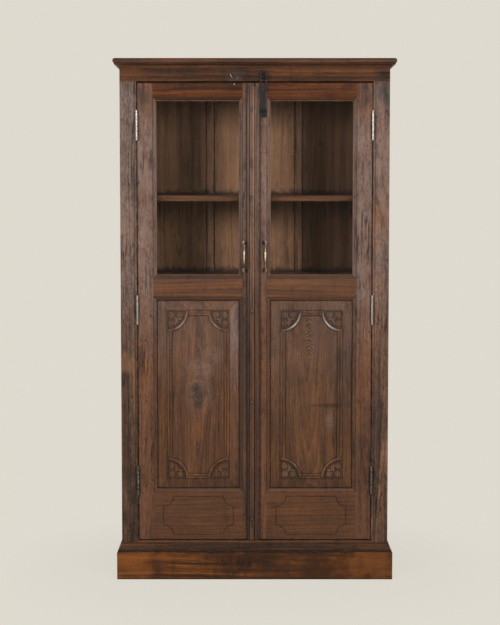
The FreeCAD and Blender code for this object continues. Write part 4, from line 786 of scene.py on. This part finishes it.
# Each finish with the width of its worn arrises and the boards that have it
WOODWORK = {
    "post": (0.0016, ["front_post_left", "front_post_right", "back_post_left", "back_post_right"]),
    "frieze": (0.0012, ["front_top_rail"]),
    "rail": (0.0012, ["front_bottom_rail"]),
    "splay": (0.0012, ["base_moulding_front"]),
    "splay_side": (0.0012, ["base_moulding_left", "base_moulding_right"]),
    "plinth": (0.0018, ["plinth_front", "plinth_back"]),
    "plinth_side": (0.0018, ["plinth_left", "plinth_right"]),
    "top": (0.0, ["top_board"]),
    "cove": (0.0, ["cornice_front"]),
    "cove_side": (0.0, ["cornice_left", "cornice_right"]),
    "side_rail": (0.0012, ["side_rails_left", "side_rails_right"]),
    "side_panel": (0.0, ["side_panels_left", "side_panels_right"]),
    "inside_rail": (0.001, ["back_frame_rails"]),
    "shelf": (0.0014, ["shelf_upper", "shelf_middle", "shelf_lower", "bottom_board", "shelf_cleats"]),
}
# The pieces of each door, with their finish and the width of their worn arrises
DOOR_PIECES = {
    "hinge_stile": ("stile", 0.001), "meeting_stile": ("meeting_{}", 0.001),
    "top_rail": ("top_rail", 0.001), "lock_rail": ("rail", 0.001),
    "bottom_rail": ("low_rail", 0.0), "glazing_beads": ("rail", 0.0),
    "meeting_strip": ("strip_{}", 0.0), "handle": ("brass", 0.0), "hinge_leaves": ("steel", 0.0),
}
METALWORK = {
    "steel": ["hinge_post_leaves", "hinge_pins"], "nail": ["door_left_strip_nails"],
    "iron": ["hasp", "hasp_plate", "hasp_pin", "hasp_staple"], "bent_brass": ["hook_staple"],
}
for finish, (arris, names) in WOODWORK.items():
    for name in names:
        dress(name, finish, arris)
for side in ("left", "right"):
    for name, (finish, arris) in DOOR_PIECES.items():
        piece = dress(f"door_{side}_{name}", finish.format(side), arris)
        if name == "bottom_rail":
            mark(piece, "sunk", ruled_groove)
        elif name == "handle":
            mark(piece, "tarnish_and_shade", handle_tarnish)
        elif name == "hinge_leaves":
            mark(piece, "tarnish_and_shade", knuckle_side_shade)
        else:
            mark(piece, "sunk", moulded_slope)
    panel = dress(f"door_{side}_panel", f"panel_{side}")
    mark(panel, "sunk", carved_hollow)
    mark(panel, "bevel_sheen", painted_bevel_sheen)
    mark(panel, "rubbed_and_highlit", corner_bead)
    boards[f"door_{side}_glass"].data.materials.clear()
    boards[f"door_{side}_glass"].data.materials.append(FINISH["glass"])
for finish, names in METALWORK.items():
    for name in names:
        piece = dress(name, finish)
        if finish == "steel":
            mark(piece, "tarnish_and_shade", knuckle_side_shade)
# The middle panel of the back ends here on either side
MIDDLE_PANEL_X = 0.16
back = dress("back_panels", "back_outer")
for finish in ("back_middle", "back_right_shaded"):
    back.data.materials.append(FINISH[finish])
# The middle faces take the lighter copy and the right-hand faces the shaded copy of the back's wood
for face in back.data.polygons:
    face.material_index = 1 if abs(face.center.x) < MIDDLE_PANEL_X else 2 * (face.center.x > 0.0)
face_the_wall(back)
face_the_wall(dress("back_muntins", "muntin", 0.001))


# Carving and small ironmongery, modelled flat with the front facing up


def pick(piece, wanted):
    """In edit mode, selects the vertices whose place the test wants."""
    bpy.ops.mesh.select_mode(type="VERT")
    bpy.ops.mesh.select_all(action="DESELECT")
    shape = bmesh.from_edit_mesh(piece.data)
    for vertex in shape.verts:
        vertex.select_set(wanted(vertex.co))
    shape.select_flush(True)
    bmesh.update_edit_mesh(piece.data)


def turn_outwards():
    """Turns the faces of the piece in edit mode outwards, and leaves edit mode."""
    bpy.ops.mesh.select_all(action="SELECT")
    bpy.ops.mesh.normals_make_consistent(inside=False)
    bpy.ops.object.mode_set(mode="OBJECT")


def rounded(piece, levels):
    """Leaves edit mode and rounds the shape off."""
    turn_outwards()
    applied(piece, "SUBSURF", levels=levels, render_levels=levels)
    return piece


def start(make, **sizes):
    """Adds a primitive, alone in the selection, and opens it in edit mode."""
    bpy.ops.object.select_all(action="DESELECT")
    make(**sizes)
    piece = bpy.context.object
    select_only(piece)
    bpy.ops.object.mode_set(mode="EDIT")
    bpy.ops.mesh.select_all(action="SELECT")
    return piece


def pull_up(rise):
    bpy.ops.mesh.extrude_region_move(TRANSFORM_OT_translate={"value": (0.0, 0.0, rise)})


def step_in(*steps):
    """Insets the selected face step by step, each by a width and a depth."""
    for width, depth in steps:
        bpy.ops.mesh.inset(thickness=width, depth=depth)


def disc(vertices, radius, rise):
    """A disc in edit mode, with its upper face selected."""
    piece = start(bpy.ops.mesh.primitive_circle_add, vertices=vertices, radius=radius, fill_type="NGON")
    pull_up(rise)
    return piece


def rosette():
    """A round flower of six petals about a boss."""
    piece = disc(vertices=24, radius=0.0098, rise=0.0034)
    step_in((0.003, 0.001), (0.0022, -0.0022), (0.0006, 0.0026), (0.0018, 0.001))
    petal = math.pi / 3

    def in_a_notch(place):
        turn = math.atan2(place.y, place.x) / petal
        return abs(turn - round(turn)) < 0.1

    pick(piece, lambda place: place.xy.length > 0.009 and in_a_notch(place))
    bpy.ops.transform.resize(value=(0.74, 0.74, 1.0), center_override=(0.0, 0.0, 0.0))
    pick(piece, lambda place: 0.006 < place.xy.length < 0.0075 and place.z > 0.003 and in_a_notch(place))
    bpy.ops.transform.translate(value=(0.0, 0.0, -0.0018))
    return rounded(piece, 2)


def leaf():
    """A pointed leaf that curls to one side, with a sunk midrib."""
    long, wide, curl = 0.027, 0.0125, math.radians(9.0)
    outline = (0.35, 0.75, 0.98, 1.0, 0.94, 0.8, 0.6, 0.36, 0.06)
    steps = len(outline) - 1
    piece = start(bpy.ops.mesh.primitive_grid_add, x_subdivisions=4, y_subdivisions=steps, size=1.0)
    bpy.ops.transform.resize(value=(wide, long, 1.0), center_override=(0.0, 0.0, 0.0))
    bpy.ops.transform.translate(value=(0.0, long / 2, 0.0012))
    rows = [long * i / steps for i in range(len(outline))]
    in_row, on_rib = 0.0005, 0.00005
    for row, width in zip(rows, outline):
        pick(piece, lambda place: abs(place.y - row) < in_row)
        bpy.ops.transform.resize(value=(width, 1.0, 1.0), center_override=(0.0, row, 0.0))
    pick(piece, lambda place: abs(place.x) < on_rib)
    bpy.ops.transform.translate(value=(0.0, 0.0, 0.0012))
    reach = {row: wide / 4 * width for row, width in zip(rows, outline)}
    pick(piece, lambda place: any(
        abs(place.y - row) < in_row and abs(abs(place.x) - side) < 0.0003 for row, side in reach.items()
    ) and abs(place.x) > on_rib)
    bpy.ops.transform.translate(value=(0.0, 0.0, 0.0032))
    for row in rows[3:7]:
        pick(piece, lambda place: place.y > row + in_row)
        bpy.ops.transform.rotate(value=curl, orient_axis="Z", center_override=(0.0, row, 0.0))
    bpy.ops.mesh.select_all(action="SELECT")
    bpy.ops.object.mode_set(mode="OBJECT")
    applied(piece, "SOLIDIFY", thickness=0.0016, offset=-1.0)
    bpy.ops.object.mode_set(mode="EDIT")
    return rounded(piece, 1)


def tack():
    """A small domed nail head."""
    piece = disc(vertices=16, radius=0.0028, rise=0.0006)
    step_in((0.0007, 0.0005), (0.0009, 0.0002))
    return rounded(piece, 1)


def screw():
    """A flat screw head with a slot across it."""
    piece = disc(vertices=20, radius=0.0038, rise=0.0003)
    for side in (-0.0005, 0.0005):
        bpy.ops.mesh.select_all(action="SELECT")
        bpy.ops.mesh.bisect(plane_co=(0.0, side, 0.0), plane_no=(0.0, 1.0, 0.0))
    bpy.ops.mesh.select_mode(type="FACE")
    bpy.ops.mesh.select_all(action="DESELECT")
    shape = bmesh.from_edit_mesh(piece.data)
    for face in shape.faces:
        middle = face.calc_center_median()
        face.select_set(face.normal.z > 0.9 and abs(middle.y) < 0.0003 and middle.z > 0.0002)
    bmesh.update_edit_mesh(piece.data)
    pull_up(-0.00025)
    turn_outwards()
    return piece


def plug():
    """A square wooden plug let into a stile, its edges eased."""
    piece = start(bpy.ops.mesh.primitive_plane_add, size=0.0165)
    pull_up(0.0003)
    step_in((0.0022, -0.0002), (0.0006, 0.0005))
    turn_outwards()
    return piece


def settled(model, name, place, turn=(0.0, 0.0, 0.0), size=(1.0, 1.0, 1.0)):
    """A copy with its own mesh, laid in its place and then settled at the origin."""
    piece = bpy.data.objects.new(name, model.data.copy())
    bpy.context.scene.collection.objects.link(piece)
    piece.location = place
    piece.rotation_euler = [math.radians(angle) for angle in turn]
    piece.scale = size
    select_only(piece)
    bpy.ops.object.transform_apply(location=True, rotation=True, scale=True)
    bpy.ops.object.mode_set(mode="EDIT")
    turn_outwards()
    return piece


def joined(pieces, name):
    select_only(pieces[0])
    for piece in pieces[1:]:
        piece.select_set(True)
    bpy.ops.object.join()
    pieces[0].name = name
    return pieces[0]


def corner_carving():
    """Three flowers and three leaves in a corner, which lies at the top left."""
    flower, frond = rosette(), leaf()
    pieces = [
        settled(model, name, (x, y, 0.0), (0.0, 0.0, turn), (wide, long, 1.0))
        for model, name, x, y, turn, wide, long in (
            (flower, "flower_corner", 0.0138, -0.0138, 0.0, 1.28, 1.28),
            (flower, "flower_side", 0.0128, -0.0428, 20.0, 1.22, 1.22),
            (flower, "flower_top", 0.0428, -0.0128, 10.0, 1.22, 1.22),
            (frond, "leaf_middle", 0.0222, -0.0222, -135.0, 1.15, 1.05),
            (frond, "leaf_side", 0.0262, -0.0322, -170.0, 0.85, 0.85),
            (frond, "leaf_top", 0.0322, -0.0262, -100.0, -0.85, 0.85),
        )
    ]
    for model in (flower, frond):
        bpy.data.objects.remove(model)
    return joined(pieces, "corner_carving")


SIDES = (("left", -1), ("right", 1))
# The turn that faces a flat piece to the front, and the depths that such pieces sit at
FRONT = (90.0, 0.0, 0.0)
SPANDREL_FLOOR = -0.1763
ON_WOOD, ON_PLATE = -0.1832, -0.1853
carving = corner_carving()
for side, flip in SIDES:
    corners = []
    for x, across in zip(CORNER_X, (-1, 1)):
        for z, up in zip(CORNER_Z, (1, -1)):
            corners.append(settled(carving, "corner", (flip * x, SPANDREL_FLOOR, z), FRONT,
                                   (flip * across, up, 1.0)))
    group = joined(corners, f"door_{side}_corner_carvings")
    smooth(group, 60.0)
    # Painted highlight on the raised parts of the carving, and painted shade on its low parts
    mark(group, "rubbed_and_highlit", lambda face: 0.07 * (face.center.y < -0.1795))
    mark(group, "sunk", lambda face: 0.6 * (face.center.y > -0.1782))
    finish_piece(group, f"panel_{side}", f"door_{side}")
bpy.data.objects.remove(carving)

head, slotted, square = tack(), screw(), plug()
for name, finish, body, slot, place in (
    ("door_left_head_tack", "bent_brass", "door_left", "brass", (-0.071, ON_WOOD, 1.7405)),
    ("frieze_nail", "nail", "carcass", "hinge_steel", (-0.0588, ON_WOOD, 1.763)),
    ("hasp_plate_rivet_left", "iron", "door_right", "iron", (0.0243, ON_PLATE, 1.633)),
    ("hasp_plate_rivet_right", "iron", "door_right", "iron", (0.0362, ON_PLATE, 1.633)),
):
    piece = settled(head, name, place, FRONT)
    smooth(piece, 50.0)
    finish_piece(piece, finish, body)
PLUG_PLACE = (0.034, ON_WOOD, 1.513)
piece = settled(square, "door_right_stile_plug", PLUG_PLACE, FRONT)
# Painted shade on the plug's eased rim
mark(piece, "sunk", lambda face: 0.6 * ((face.center - Vector(PLUG_PLACE)).length > 0.003))
finish_piece(piece, "stile", "door_right")
# Each screw in a hinge: how far above the hinge's foot, and how deep
SCREW_PLACES = ((0.012, -0.167), (0.038, -0.175), (0.064, -0.167), (0.09, -0.175))
for side, flip in SIDES:
    for leaf_of, x, facing, body in (("door", 0.41, 1, f"door_{side}"), ("post", 0.412, -1, "carcass")):
        turn = (0.0, 90.0 * flip * facing, 0.0)
        screws = [
            settled(slotted, "screw", (flip * x, depth, foot + rise), turn)
            for foot in HINGE_FEET for rise, depth in SCREW_PLACES
        ]
        finish_piece(joined(screws, f"{leaf_of}_hinge_screws_{side}"), "steel", body)
for model in (head, slotted, square):
    bpy.data.objects.remove(model)


# Studio

BACKGROUND = srgb(222, 218, 207)


def seen_directly(tree):
    """One where the camera, a reflection or glass looks, and zero for light on the object."""
    path = add(tree, "LightPath")
    shown = reckon(tree, "ADD", path["Is Camera Ray"], path["Is Glossy Ray"])
    return reckon(tree, "ADD", shown, path["Is Transmission Ray"], clamp=True)


def studio_air():
    """Pale surroundings, with a softer fill on the object."""
    world = bpy.data.worlds.new("studio_air")
    bpy.context.scene.world = world
    world.use_nodes = True
    tree = world.node_tree
    tree.nodes.clear()
    fill = add(tree, "Background", {"Color": (1.0, 0.98, 0.95, 1.0), "Strength": 0.2})
    plain = add(tree, "Background", {"Color": BACKGROUND, "Strength": 1.0})
    mixed = add(tree, "MixShader", {0: seen_directly(tree), 1: fill[0], 2: plain[0]})
    add(tree, "OutputWorld", {"Surface": mixed[0]})


def floor():
    """A pale floor that fades into the surroundings away from the cupboard."""
    bpy.ops.mesh.primitive_circle_add(vertices=96, radius=30.0, fill_type="NGON")
    ground = bpy.context.object
    ground.name = "studio_floor"
    material, tree, place, shader = new_material("studio_floor_paint")
    grit = band(tree, noise(tree, place, 3.0, 3.0), 0.3, 0.7)
    feed(tree, shader, {
        "Base Color": tint(tree, grit, srgb(236, 233, 224), srgb(232, 229, 220)),
        "Roughness": 0.9,
        "Specular IOR Level": 0.0,
    })
    away = band(tree, length(tree, place), 0.45, 1.1, 0.9, 1.0)
    glow = add(tree, "Emission", {"Color": BACKGROUND, "Strength": 1.0})
    show_instead(tree, times(tree, away, seen_directly(tree)), shader, glow[0])
    ground.data.materials.append(material)


def soft_box(name, place, aim, size, power):
    lamp = bpy.data.lights.new(name, "AREA")
    lamp.shape = "RECTANGLE"
    lamp.size, lamp.size_y = size
    lamp.energy = power
    box = bpy.data.objects.new(name, lamp)
    box.location = place
    box.rotation_euler = (Vector(aim) - Vector(place)).to_track_quat("-Z", "Y").to_euler()
    bpy.context.scene.collection.objects.link(box)


def camera():
    """Stands in front at eye height and looks a little down, as the photograph was taken."""
    lens = bpy.data.cameras.new("view")
    lens.lens = 90.55
    lens.sensor_width = 36.0
    stand = bpy.data.objects.new("view", lens)
    stand.location = (-0.0166, -5.683, 1.346)
    stand.rotation_euler = (math.radians(90.0 - 4.155), 0.0, 0.0)
    bpy.context.scene.collection.objects.link(stand)
    bpy.context.scene.camera = stand


studio_air()
floor()
for side, flip in SIDES:
    soft_box(f"soft_box_{side}", place=(flip * 1.75, -3.15, 2.05), aim=(0.0, -0.2, 1.0),
             size=(1.15, 1.0), power=59.0)
camera()
bpy.context.scene.view_settings.view_transform = "Standard"
